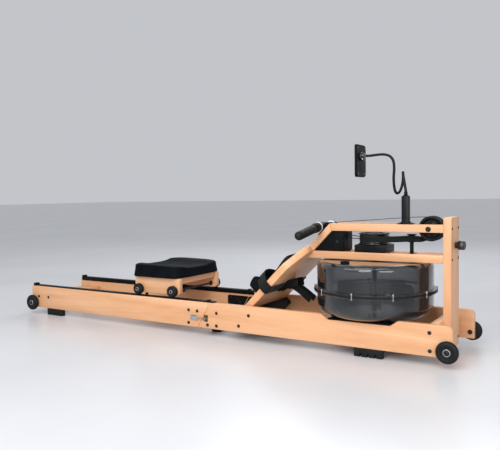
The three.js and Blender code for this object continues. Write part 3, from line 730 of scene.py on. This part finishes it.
def make_seat():
    """Through axles, spacers and washers on the seat's wooden cheeks, and a keeper by each rear roller."""
    low, high = cad("seat_cheek_left")
    axles, keepers = bmesh.new(), bmesh.new()
    for end in ("front", "rear"):
        spot = middle(f"seat_roller_{end}_left")
        sweep(axles, [Vector((spot.x, y, spot.z)) for y in (-160, -60, 60, 160)], disc(4.4, 20), X)
        for _, sign in SIDES:
            sleeve(axles, 4.4, 10, 2.2, (spot.x, sign * low.y, spot.z), -Y * sign)
            hex_head(axles, (spot.x, sign * (low.y - 2), spot.z), -Y * sign, 7, 5)
            rod(axles, 7, 1.4, (spot.x, sign * high.y, spot.z), Y * sign, 28)
        for side, _ in SIDES:
            make_roller(f"seat_roller_{end}_{side}")
    x = middle("seat_roller_rear_left").x + 16
    peg = [(0, 0), (3, 0), (3, 12), (6, 12), (6, 21.5), (0, 21.5)]
    for _, sign in SIDES:
        faces = sorted(sign * (low.y - depth) for depth in (0.2, 2.6))
        prism(keepers, rounded([(x - 7, 172), (x + 7, 172), (x + 7, 110), (x - 7, 110)], 5), *faces,
              across_y)
        lathe(keepers, peg, (x, sign * (low.y - 0.2), 116.5), Y * sign, 28)
    add("seat_axles", axles, BLACKED, "seat")
    add("seat_keepers", keepers, COATED, "seat")


def saddle_height(u, v):
    """Height of the saddle's top over its base. u runs from back, -1, to front and v across."""
    sides = 12 * min(1, abs(v) / 0.62) ** 2
    channel = -4.5 * math.exp(-(v / 0.2) ** 2) * min(1.0, max(0.0, 0.45 - u))
    hollow = -2.5 * math.exp(-((abs(v) - 0.4) / 0.25) ** 2 - ((u + 0.1) / 0.5) ** 2)
    fall = -6 * max(0.0, u + 0.1) ** 1.6
    return 43.2 + sides + channel + hollow + fall


def make_saddle():
    """A moulded foam saddle: two hollows between raised sides, with a ridge at the back."""
    low, high = cad("saddle")
    centre = (low + high) / 2
    half_x, half_y = (high.x - low.x) / 2, (high.y - low.y) / 2
    segments, power, edge = 112, 2 / 7, 9
    bm = bmesh.new()

    def ring(share, z_of, inset=0.0):
        made = []
        for s in range(segments):
            angle = 2 * math.pi * (s + 0.5) / segments
            c, d = math.cos(angle), math.sin(angle)
            u = math.copysign(abs(c) ** power, c) * share
            v = math.copysign(abs(d) ** power, d) * share
            x, y = u * (half_x - inset), v * (half_y - inset)
            made.append(bm.verts.new((centre.x + x, centre.y + y, low.z + z_of(u, v))))
        return made

    rings = [[bm.verts.new((centre.x, centre.y, low.z + saddle_height(0, 0)))]]
    for share in (0.08, 0.16, 0.24, 0.32, 0.4, 0.48, 0.56, 0.64, 0.72, 0.79, 0.85, 0.89, 0.91):
        rings.append(ring(share, saddle_height))
    for step in range(1, 8):
        angle = math.pi / 2 * step / 7
        share = 0.91 + 0.055 * math.sin(angle)
        drop = edge * (1 - math.cos(angle))
        rings.append(ring(share, lambda u, v, d=drop: saddle_height(u, v) - d))
    for share_down, inset in ((0.8, 5), (0.5, 3), (0.2, 0.8), (0.08, 0), (0.03, 1), (0.0, 5)):
        rings.append(ring(1, lambda u, v, k=share_down: (saddle_height(u, v) - edge) * k, inset))
    rings.append([bm.verts.new((centre.x, centre.y, low.z))])
    cover(bm, rings)
    pad = add("saddle_pad", bm, SKIN, "seat", ["saddle"], smooth=60)
    smoother = pad.modifiers.new("smooth", "SUBSURF")
    smoother.levels = smoother.render_levels = 1


# ---------------------------------------------------------------- foot plates and straps
def on_slope(u, v, w):
    """A point from its place up the slope, across it and off it."""
    return UP_SLOPE * u + Y * v + OFF_SLOPE * w


TOP_FACE = -80 / math.sqrt(2)
UNDER_FACE = -120 / math.sqrt(2)


def smooth_step(value, low, high):
    t = min(1.0, max(0.0, (value - low) / (high - low)))
    return t * t * (3 - 2 * t)


def wall_height(run, length):
    """Height of a foot plate's wall at a run along it: a heel cup, a low waist and a turned-up toe."""
    if run < 52:
        return 51 + 8 * smooth_step(run, 0, 52)
    if run < 104:
        return 59 - 49 * smooth_step(run, 52, 104)
    return 10 + 7 * smooth_step(run, 140, length - 12) - 3 * smooth_step(run, length - 12, length)


def make_foot_plate(side):
    """A moulded tray for the foot: a ribbed sole inside a wall that rises round the heel and the toe."""
    node = f"foot_plate_{side}"
    mid = middle(node).y
    heel, toe, sole, half, wall = 418 / math.sqrt(2), 748 / math.sqrt(2), TOP_FACE + 0.3, 48, 3.6
    corners = [(heel, mid - half + 4), (toe, mid - half), (toe, mid + half), (heel, mid + half - 4)]
    outline = [Vector(spot) for spot in rounded(corners, 40, 14)]
    steps = []
    for spot, following in zip(outline, outline[1:] + outline[:1]):
        gap = following - spot
        count = max(1, round(gap.length / 9))
        steps += [spot + gap * k / count for k in range(count)]
    centre = Vector(((heel + toe) / 2, mid))
    outside = Vector(((toe - heel) / 2, half))
    inside = Vector(((toe - heel) / 2 - wall, half - wall))
    rows = []
    bm = bmesh.new()
    for spot in steps:
        inner = centre + Vector(((spot.x - centre.x) * inside.x / outside.x,
                                 (spot.y - centre.y) * inside.y / outside.y))
        top = sole + wall_height(spot.x - heel, toe - heel)
        places = [(spot, sole), (spot, top - 1.3), ((spot + inner) / 2, top), (inner, top - 1.3),
                  (inner, sole + 5)]
        rows.append([bm.verts.new(on_slope(p.x, p.y, w)) for p, w in places])
    for a, b in zip(rows, rows[1:] + rows[:1]):
        for s in range(4):
            bm.faces.new((a[s], a[s + 1], b[s + 1], b[s]))
    bm.faces.new([row[0] for row in rows])
    bm.faces.new([row[4] for row in rows][::-1])
    for step in range(9):
        u = heel + 98 + step * 12
        rib = rounded([(u, mid - 34), (u + 5, mid - 34), (u + 5, mid + 34), (u, mid + 34)], 2, 2)
        prism(bm, rib, sole + 4, sole + 7, on_slope)
    add(f"{node}_moulding", bm, PLASTIC, replaces=[node])


def make_strap(side, sign):
    """A band over the instep, round the board's edge and along its underside, with a loose tail."""
    up, edge, aside = 376, 148, 26
    arch = [(20, TOP_FACE + 4), (24, TOP_FACE + 30), (46, TOP_FACE + 45), (76, TOP_FACE + 51),
            (106, TOP_FACE + 45), (130, TOP_FACE + 26), (edge + 2.5, TOP_FACE - 1),
            (edge + 3, UNDER_FACE + 3),
            (edge - 5, UNDER_FACE - 3), (110, UNDER_FACE - 2.6), (60, UNDER_FACE - 2.2),
            (26, UNDER_FACE - 3)]
    path = curve_through([on_slope(up, sign * v, w) for v, w in arch], 6)
    add(f"foot_strap_{side}", sweep(bmesh.new(), path, band(22, 2.6), UP_SLOPE), WEBBING)
    keeper = [(318, 0, 196), (336, 3, 208), (356, 4, 215), (378, 3, 221), (392, 0, 222)]
    tail = [(352, -5, 212), (372, -8, 205), (398, -9, 190), (424, -8, 172), (446, -6, 156)]
    for part, points, section in (("keeper", keeper, band(16, 6)), ("tail", tail, band(13, 2.6))):
        path = curve_through([(x, sign * (aside + y), z) for x, y, z in points], 6)
        add(f"foot_strap_{part}_{side}", sweep(bmesh.new(), path, section, Z), WEBBING)
    y = sign * aside
    add(f"foot_strap_buckle_{side}", block(bmesh.new(), (311, y - 22, 186), (322, y + 22, 193), 2), PLASTIC)


# ---------------------------------------------------------------- water tank
def arc(r, z, span_r, span_z, start, end, steps=12):
    """Points of an elliptical arc in a profile."""
    angles = [start + (end - start) * i / steps for i in range(steps + 1)]
    return [(r + span_r * math.cos(a), z + span_z * math.sin(a)) for a in angles]


def make_tank():
    """Two smoked shells flanged together over a seal, ten bolts through the flange, and a filling plug."""
    low, high = cad("tank_lower_shell")
    centre = Vector(((low.x + high.x) / 2, 0, 0))
    bottom, joint, top = low.z, 219, cad("tank_upper_shell")[1].z
    radius, flange, wall = 214, (high.x - low.x) / 2, 4
    quarter = math.pi / 2
    outer = arc(radius - 48, bottom + 46, 48, 46, -quarter, 0)
    inner = arc(radius - 48, bottom + 46, 48 - wall, 46 - wall, 0, -quarter)
    lip = [(radius, joint - 11), (radius + 1.5, joint - 9), (flange - 1, joint - 8.4),
           (flange, joint - 7.4), (flange, joint - 4.2), (radius, joint - 4.2), (radius, joint - 0.2),
           (radius - wall, joint - 0.2)]
    step_in = [(0, bottom + 1.5), (110, bottom + 1.5), (112, bottom)]
    bm = lathe(bmesh.new(), [*step_in, *outer, *lip, *inner, (0, bottom + wall)], centre, Z, 120)
    add("tank_lower_bowl", bm, SMOKED, replaces=["tank_lower_shell"], smooth=30)

    outer = arc(radius - 24, top - 22, 24, 22, 0, quarter)
    inner = arc(radius - 24, top - 22, 24 - wall, 22 - wall, quarter, 0)
    lip = [(r, 2 * joint - z) for r, z in lip[::-1]]
    bm = lathe(bmesh.new(), [(14, top), (14, top - wall), *inner, *lip, *outer], centre, Z, 120, ring=True)
    lid = add("tank_upper_cover", bm, SMOKED, replaces=["tank_upper_shell"], smooth=30)
    plug = middle("tank_plug")
    cut_bore(lid, plug, 13.2, top - 12, top + 5)

    seal = [(radius + 0.4, joint - 4), (flange + 1, joint - 4), (flange + 2, joint - 3),
            (flange + 2, joint + 3), (flange + 1, joint + 4), (radius + 0.4, joint + 4)]
    bm = lathe(bmesh.new(), seal, centre, Z, 120, ring=True)
    add("tank_gasket", bm, RUBBER, replaces=["tank_seal"], smooth=50)
    bm = bmesh.new()
    shank = [(0, -12), (1.1, -12), (1.5, -11.4), (1.5, 11.4), (1.1, 12), (0, 12)]
    for index in range(10):
        angle = -quarter + 2 * math.pi * index / 10
        spot = centre + Vector((math.cos(angle), math.sin(angle), 0)) * (flange + 1.6) + Z * joint
        lathe(bm, shank, spot, Z, 14)
        for way in (Z, -Z):
            hex_head(bm, spot + way * 8.4, way, 2.7, 2.6, 3.3)
    add("tank_bolts", bm, STEEL)

    base = cad("tank_plug")[0].z + 12
    cap = [(0, -11.5), (11.4, -11.5), (12.2, -10.5), (12.2, 0), (16, 0), (16, 5.4), (15, 6.6), (13, 6.8),
           (12, 5.6), (0, 5.6)]
    bm = lathe(bmesh.new(), cap, (plug.x, plug.y, base), Z, 60,
               wobble=lambda i, a: 1 + 0.02 * math.cos(24 * a) if 4 <= i <= 6 else 1)
    block(bm, (plug.x - 11, plug.y - 2, base + 5), (plug.x + 11, plug.y + 2, base + 6.9), 0.8)
    add("tank_plug_cap", bm, PLASTIC, "tank_plug", ["tank_plug"])


def cut_bore(piece, spot, radius, low, high):
    """Subtracts an upright cylinder from a piece's mesh."""
    bm = rod(bmesh.new(), radius, high - low, (spot.x, spot.y, low), Z, 40)
    bmesh.ops.recalc_face_normals(bm, faces=bm.faces)
    bm.transform(Matrix.Scale(MM, 4))
    mesh = bpy.data.meshes.new("bore")
    bm.to_mesh(mesh)
    bm.free()
    cutter = bpy.data.objects.new("bore", mesh)
    bpy.context.scene.collection.objects.link(cutter)
    modifier = piece.modifiers.new("bore", "BOOLEAN")
    modifier.operation = "DIFFERENCE"
    modifier.object = cutter
    graph = bpy.context.evaluated_depsgraph_get()
    made = bpy.data.meshes.new_from_object(piece.evaluated_get(graph))
    piece.modifiers.remove(modifier)
    piece.data = made
    bpy.data.objects.remove(cutter)


def make_paddle():
    """A shaft with six ribbed blades on a ring."""
    low, high = cad("paddle")
    centre = Vector(((low.x + high.x) / 2, 0, 0))
    bm = bmesh.new()
    lathe(bm, [(0, low.z), (7.9, low.z), (7.9, high.z), (0, high.z)], centre, Z, 32)
    lathe(bm, [(7.5, 158), (26, 158), (28, 162), (28, 236), (22, 244), (7.5, 244)], centre, Z, 40,
          ring=True)
    lathe(bm, [(142, 196), (150, 196), (150, 203), (142, 203)], centre, Z, 72, ring=True)
    for index in range(6):
        turn = Matrix.Translation(centre) @ Matrix.Rotation(math.pi / 3 * index, 4, "Z")
        blade = bmesh.new()
        profile = rounded([(24, 160), (138, 160), (150, 172), (150, 228), (138, 240), (24, 240)], 9, 5)
        prism(blade, profile, -2, 2, across_y)
        for z in (178, 222):
            block(blade, (30, -3.6, z - 2), (146, 3.6, z + 2), 0.8)
        include(bm, blade, turn)
    add("paddle_wheel", bm, PLASTIC, "paddle", ["paddle"])


# ---------------------------------------------------------------- drive
def make_drive():
    low, high = cad("spool")
    centre = (low + high) / 2
    flange, drum, half = (high.x - low.x) / 2, 53, (high.z - low.z) / 2
    profile = [(0, -half), (flange, -half), (flange, -half + 3), (drum, -half + 6), (drum, half - 6),
               (flange, half - 3), (flange, half), (flange - 6, half), (flange - 8, half - 2.5),
               (22, half - 2.5), (20, half - 0.3), (0, half - 0.3)]
    bm = lathe(bmesh.new(), rounded(profile, 1.2, 3, closed=False), centre, Z, 72)
    for index in range(6):
        angle = math.pi / 3 * index
        spot = centre + Vector((math.cos(angle) * 33, math.sin(angle) * 33, half - 2.5))
        bolt(bm, spot, Z, 3.2, 1.8)
    add("spool_drum", bm, GLOSSY, "spool", ["spool"])

    add("bearing_box", ease(copy_of("bearing_housing"), 3, 4, 40, 6), COATED, replaces=["bearing_housing"])
    box_low, box_high = cad("bearing_housing")
    bm = bmesh.new()
    for x in (box_low.x + 12, box_high.x - 12):
        for y in (box_low.y + 12, box_high.y - 12):
            bolt(bm, (x, y, box_high.z), Z, 4.4, 2.2)
    seam = 370
    block(bm, (box_low.x - 0.5, box_low.y - 0.5, seam),
          (box_high.x + 0.5, box_high.y + 0.5, seam + 1.2), 0.4, 1)
    add("bearing_box_screws", bm, BLACKED)

    make_front_pulley()
    make_guide()
    make_recoil_housing()


def make_front_pulley():
    low, high = cad("front_pulley")
    centre = (low + high) / 2
    radius, half = (high.z - low.z) / 2, (high.y - low.y) / 2
    profile = [(5.2, -half + 3), (14, -half + 3), (15, -half + 6), (32, -half + 8), (34, -half + 1.5),
               (36, -half), (radius, -half), (radius, -half + 2.5), (radius - 5, -half + 5),
               (radius - 5, half - 5), (radius, half - 2.5), (radius, half), (36, half), (34, half - 1.5),
               (32, half - 8), (15, half - 6), (14, half - 3), (5.2, half - 3)]
    bm = lathe(bmesh.new(), rounded(profile, 1, 2), centre, Y, 80, ring=True)
    for index in range(8):
        turn = Matrix.Translation(centre) @ Matrix.Rotation(math.pi / 4 * index, 4, "Y")
        rib = block(bmesh.new(), (13.5, -half + 3.5, -1.6), (33.5, half - 3.5, 1.6), 0.7)
        include(bm, rib, turn)
    add("front_pulley_wheel", bm, COATED, "front_pulley", ["front_pulley"])
    bm = bmesh.new()
    path = [centre + Y * y for y in (-55, -20, 20, 55)]
    sweep(bm, path, disc(5, 20), X)
    for _, sign in SIDES:
        face = sign * 54
        lathe(bm, [(0, 0), (9.5, 0), (9.5, 0.8), (9, 1.2), (0, 1.2)], (centre.x, face, centre.z),
              Y * sign, 32)
        bolt(bm, (centre.x, face + sign, centre.z), Y * sign, 7.6, 3.4)
        lathe(bm, [(5.1, 0), (9, 0), (9, 12), (5.1, 12)], (centre.x, sign * 30, centre.z), -Y * sign,
              28, ring=True)
    add("front_pulley_axle", bm, BLACKED)


def make_guide():
    add("guide_post_steel", ease(copy_of("guide_post"), 1, 2, 40, 4), COATED, replaces=["guide_post"])
    low, high = cad("guide_roller")
    centre = (low + high) / 2
    radius, half = (high.x - low.x) / 2, (high.z - low.z) / 2
    profile = [(0, -half), (radius, -half), (radius, -half + 2), (radius - 6, -half + 4.5),
               (radius - 6, half - 4.5),
               (radius, half - 2), (radius, half), (7, half), (6, half - 1.5), (0, half - 1.5)]
    bm = lathe(bmesh.new(), rounded(profile, 1, 3, closed=False), centre, Z, 48)
    add("guide_roller_wheel", bm, PLASTIC, "guide_roller", ["guide_roller"])


def make_recoil_housing():
    """The recoil spring's box behind the mitre, with a seam, a screw and the line to the spool."""
    low, high = cad("pulley_housing")
    bm = ease(copy_of("pulley_housing"), 3, 4)
    block(bm, (low.x + 34, -1, low.z + 2), (high.x + 0.6, 1, high.z + 0.4), 0.5, 1)
    block(bm, (high.x - 4, -14, 398), (high.x + 3, 14, 424), 2.5, 3)
    add("recoil_box", bm, PLASTIC, replaces=["pulley_housing"])
    bm = bmesh.new()
    for _, sign in SIDES:
        bolt(bm, (571, sign * high.y, 391), Y * sign, 6, 2)
    add("recoil_box_screws", bm, BLACKED)
    bm = bmesh.new()
    for height, y in ((419, -6), (411, -38)):
        ends = [Vector((high.x + 1, y * 0.2, height)), Vector((628, y * 0.6, height - 5)),
                Vector((690, y, 407))]
        sweep(bm, curve_through(ends, 8), disc(1.5, 10), Z)
    add("recoil_lines", bm, WEBBING)


def make_belt():
    """The belt: a run to the handle, and a run that wraps the front pulley, twists upright at the guide and
    winds on the spool."""
    pulley, spool = middle("front_pulley"), middle("spool")
    handle_hub = middle("handle")
    half, thickness = 11, 1.8
    top = pulley.z + 41.4
    path = curve_through([(handle_hub.x + 6, 0, 459), (560, 0, 464.5), (626, 0, 470), (694, 0, 474.5),
                          (771, 0, 480.3), (850, 0, 485.6), (pulley.x, 0, top)], 10)
    bm = sweep(bmesh.new(), path, band(half, thickness), Y)
    upper = add("belt_upper", bm, WEBBING, None, ["drive_belt_upper"])
    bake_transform(upper)

    path, across = [], []
    for step in range(17):
        angle = math.pi / 2 - math.pi * step / 16
        path.append(Vector((pulley.x + 41.4 * math.cos(angle), 0, pulley.z + 41.4 * math.sin(angle))))
        across.append(Y)
    guide = middle("guide_roller")
    run = curve_through([path[-1], (895, -1, 405.3), (872, -4, 407), (guide.x, guide.y - 13, 408.5),
                         (790, -35, 406.5), (spool.x + 31, spool.y - 48.5, spool.z)], 8)[1:]
    for spot in run:
        share = min(1.0, max(0.0, (pulley.x - 8 - spot.x) / 52))
        turn = (3 * share ** 2 - 2 * share ** 3) * math.pi / 2
        path.append(spot)
        across.append(Y * math.cos(turn) + Z * math.sin(turn))
    for step in range(1, 25):
        angle = -math.pi / 2 + 0.6 - (math.pi * 1.6) * step / 24
        path.append(Vector((spool.x + 54 * math.cos(angle), spool.y + 54 * math.sin(angle), spool.z)))
        across.append(Z)
    bm = sweep(bmesh.new(), path, band(half, thickness), across)
    add("belt_lower", bm, WEBBING, replaces=["drive_belt_lower"])


def make_handle():
    """A bar with drooping rubber grips, collars, rings coloured near-white as a painted highlight, and a
    hub that holds the belt.
    """
    low, high = cad("handle")
    x, hub_z, reach = (low.x + high.x) / 2, high.z - 16.5, 235.5

    def spot(y):
        drop = 1 * min(1, abs(y) / 62) ** 2 + 26 * max(0, abs(y) - 62) / 173
        return Vector((x, y, hub_z - drop))

    radius = 16.4
    bm = bmesh.new()
    for _, sign in SIDES:
        stations = [97 + (reach - 97) * i / 40 for i in range(35)]
        stations += [reach - radius + radius * math.sin(math.pi / 2 * i / 8) for i in range(9)]
        stations = sorted(s for s in stations if s <= reach - 0.2)
        length = reach - 97

        def grow(distance):
            left = max(0.0, length - distance)
            tip = math.sqrt(max(0.004, 1 - max(0.0, 1 - left / radius) ** 2))
            ribs = 1 + 0.012 * math.cos(distance * 2 * math.pi / 9)
            return tip * ribs * (1 if distance > 3 else 0.94 + 0.02 * distance)

        sweep(bm, [spot(sign * y) for y in stations], disc(radius, 28), Z, grow)
    add("handle_grips", bm, RUBBER, "handle", ["handle"], smooth=50)
    bm, rings = bmesh.new(), bmesh.new()
    for _, sign in SIDES:
        tilt = (spot(sign * 74) - spot(sign * 62)).normalized()
        base = spot(sign * 62)
        collar = [(0, -2), (15.2, -2), (18.4, 1), (19.2, 8), (18.8, 22), (17.2, 33), (15.5, 37), (0, 37)]
        lathe(bm, rounded(collar, 1, 3, closed=False), base, tilt, 44)
        # The rings are coloured near-white as a painted highlight.
        lathe(rings, [(14, 0), (18.8, 0), (19.4, 0.7), (19.4, 2.1), (18.8, 2.8), (14, 2.8)],
              base - tilt * 5, tilt, 44, ring=True)
    path = [spot(y) for y in (-60, -40, -20, 0, 20, 40, 60)]
    sweep(bm, path, disc(14.2, 32), Z)
    block(bm, (x - 15.5, -17, hub_z - 14), (x + 18, 17, hub_z + 15), 4, 4)
    for _, sign in SIDES:
        bolt(bm, (x + 8, sign * 17, hub_z + 4), Y * sign, 3.6, 1.8)
    add("handle_hub", bm, PLASTIC, "handle")
    add("handle_rings", rings, PAINTED_HIGHLIGHT_WHITE, "handle")


# ---------------------------------------------------------------- monitor
NECK = [(0, 0, 562.3), (0, 0, 580), (-5, 2, 608), (-11, 7, 634), (-15, 16, 647), (-18, 26, 641),
        (-20, 31, 622), (-23, 31, 602), (-28, 26, 583), (-34, 18, 573), (-40, 9, 577), (-43, 3, 596),
        (-44, 0, 628), (-42, 0, 660), (-45, 0, 688), (-58, 0, 706), (-80, 0, 713), (-106, 0, 713),
        (-130, 0, 711), (-148, 0, 711)]


def make_holder():
    """A square tube on a screwed base plate, and the ribbed flexible arm that leaves its cap."""
    low, high = cad("holder_bracket")
    x, y = (low.x + high.x) / 2, (low.y + high.y) / 2
    bm = ease(copy_of("holder_bracket"), 1.6, 3, 40, 3)
    block(bm, (x - 14.5, y - 13.8, low.z + 3.4), (x + 14.5, y + 13.8, low.z + 10), 2)
    add("holder_tube", bm, COATED, replaces=["holder_bracket"])
    bm = bmesh.new()
    for shift in (-21, 21):
        bolt(bm, (x + shift, y, low.z + 4), Z, 4, 2.2)
    add("holder_screws", bm, BLACKED)
    bm = bmesh.new()
    cap = [(0, -1), (11.6, -1), (11.6, 1.2), (8.6, 3), (6.6, 5), (6.2, 14), (5.4, 16), (0, 16)]
    lathe(bm, rounded(cap, 1, 3, closed=False), (x, y, high.z), Z, 36)
    add("holder_cap", bm, PLASTIC)
    path = curve_through([(x + dx, y + dy, z) for dx, dy, z in NECK], 18)
    bm = sweep(bmesh.new(), path, disc(4.8, 14), X, lambda d: 1 + 0.035 * math.cos(d * 2 * math.pi / 4.2))
    add("flexible_arm", bm, COATED, replaces=["gooseneck"], smooth=60)


def make_monitor():
    """The monitor: a rounded case with a display and keys towards the rower, and a clamp behind."""
    low, high = cad("monitor_case")
    tilt = next(joint for joint in frame["joints"] if joint["name"] == "monitor_tilt")
    pivot, axis = Vector(tilt["pos_m"]) / MM, Vector(tilt["axis"])
    swing = Matrix.Translation(pivot) @ Matrix.Rotation(math.atan2(-axis.x, axis.y), 4, "Z")
    front, back, half, aside = -27.6, -18, 56.5, Y * 10
    bottom, top = low.z - pivot.z, high.z - pivot.z

    def made(name, bm, material, shift=aside):
        bm.transform(swing @ Matrix.Translation(shift))
        add(name, bm, material, "monitor", ["monitor_case"] if name == "monitor_shell" else [])

    def plate(bm, inset, corner, start, end, base=None):
        a, b = (bottom if base is None else base) + inset, top - inset
        outline = rounded([(-half + inset, a), (half - inset, a), (half - inset, b),
                           (-half + inset, b)], corner, 6)
        prism(bm, outline, start, end, lambda p, q, r: Vector((r, p, q)))

    bm = bmesh.new()
    plate(bm, 0, 13, front, front + 6)
    plate(bm, 2.5, 12, front + 6, back)
    ease(bm, 1.2, 3, 50, 1.5)
    for step in range(6):
        z = bottom + 20 + step * 6
        block(bm, (back - 0.6, -26, z), (back + 0.8, 26, z + 2.6), 0.6, 2)
    made("monitor_shell", bm, PLASTIC)
    bm = lathe(bmesh.new(), rounded([(0, 0), (15, 0), (14, 5), (11, 7), (10.6, 15.6), (0, 15.6)], 1.5,
                                    3, closed=False),
               (back - 0.6, 0, 0), X, 40)
    block(bm, (back + 3, -7, -19), (back + 13, 7, 2), 2.5, 3)
    made("monitor_clamp", bm, GLOSSY, Vector())
    bm = bmesh.new()
    plate(bm, 11, 4, front - 0.35, front + 1, bottom + (top - bottom) * 0.28)
    made("monitor_display", bm, SCREEN)
    bm = bmesh.new()
    for row, count in ((bottom + 28, 3), (bottom + 13, 4)):
        for index in range(count):
            spot = (front, (index - (count - 1) / 2) * half * 0.42, row)
            lathe(bm, [(0, -1), (5.6, -1), (5.6, 0.8), (4.6, 1.4), (0, 1.7)], spot, -X, 28)
    made("monitor_keys", bm, RUBBER)
    bm = bmesh.new()
    for _, sign in SIDES:
        bolt(bm, (back + 8, sign * 7 - aside.y, -11), Y * sign, 3.6, 2.4)
    for y in (-half + 14, half - 14):
        for z in (bottom + 12, top - 12):
            bolt(bm, (back - 0.6, y, z), X, 2.4, 1.3)
    made("monitor_screws", bm, STEEL)


# ---------------------------------------------------------------- column hardware
def make_column_hardware():
    """Six bolt heads on the front face of the column, and the knob's scalloped grip."""
    face = cad("front_column")[1].x
    bm = bmesh.new()
    for y, z in ((-43, 448), (43, 448), (-43, 342), (43, 342), (-43, 60), (43, 60)):
        bolt(bm, (face, y, z), X, 5, 2)
    add("column_bolts", bm, BLACKED)
    low, centre = cad("front_knob")[0], middle("front_knob")
    profile = [(0, 0.2), (11, 0.2), (11, 7), (14.6, 9.5), (15.9, 12), (15.9, 29), (14.4, 33),
               (10, 33.8), (9, 32.6), (0, 32.6)]
    bm = lathe(bmesh.new(), profile, (low.x, centre.y, centre.z), X, 96,
               wobble=lambda i, a: 1 - 0.05 * max(0, math.cos(12 * a)) ** 3 if 3 <= i <= 6 else 1)
    add("front_knob_grip", bm, GLOSSY, "front_knob", ["front_knob"], smooth=45)


make_boards()
make_wheels()
make_feet()
make_rail_bolts()
make_hinges()
make_latches()
make_tracks()
make_seat()
make_saddle()
for foot_side, foot_sign in SIDES:
    make_foot_plate(foot_side)
    make_strap(foot_side, foot_sign)
make_tank()
make_paddle()
make_drive()
make_belt()
make_handle()
make_holder()
make_monitor()
make_column_hardware()
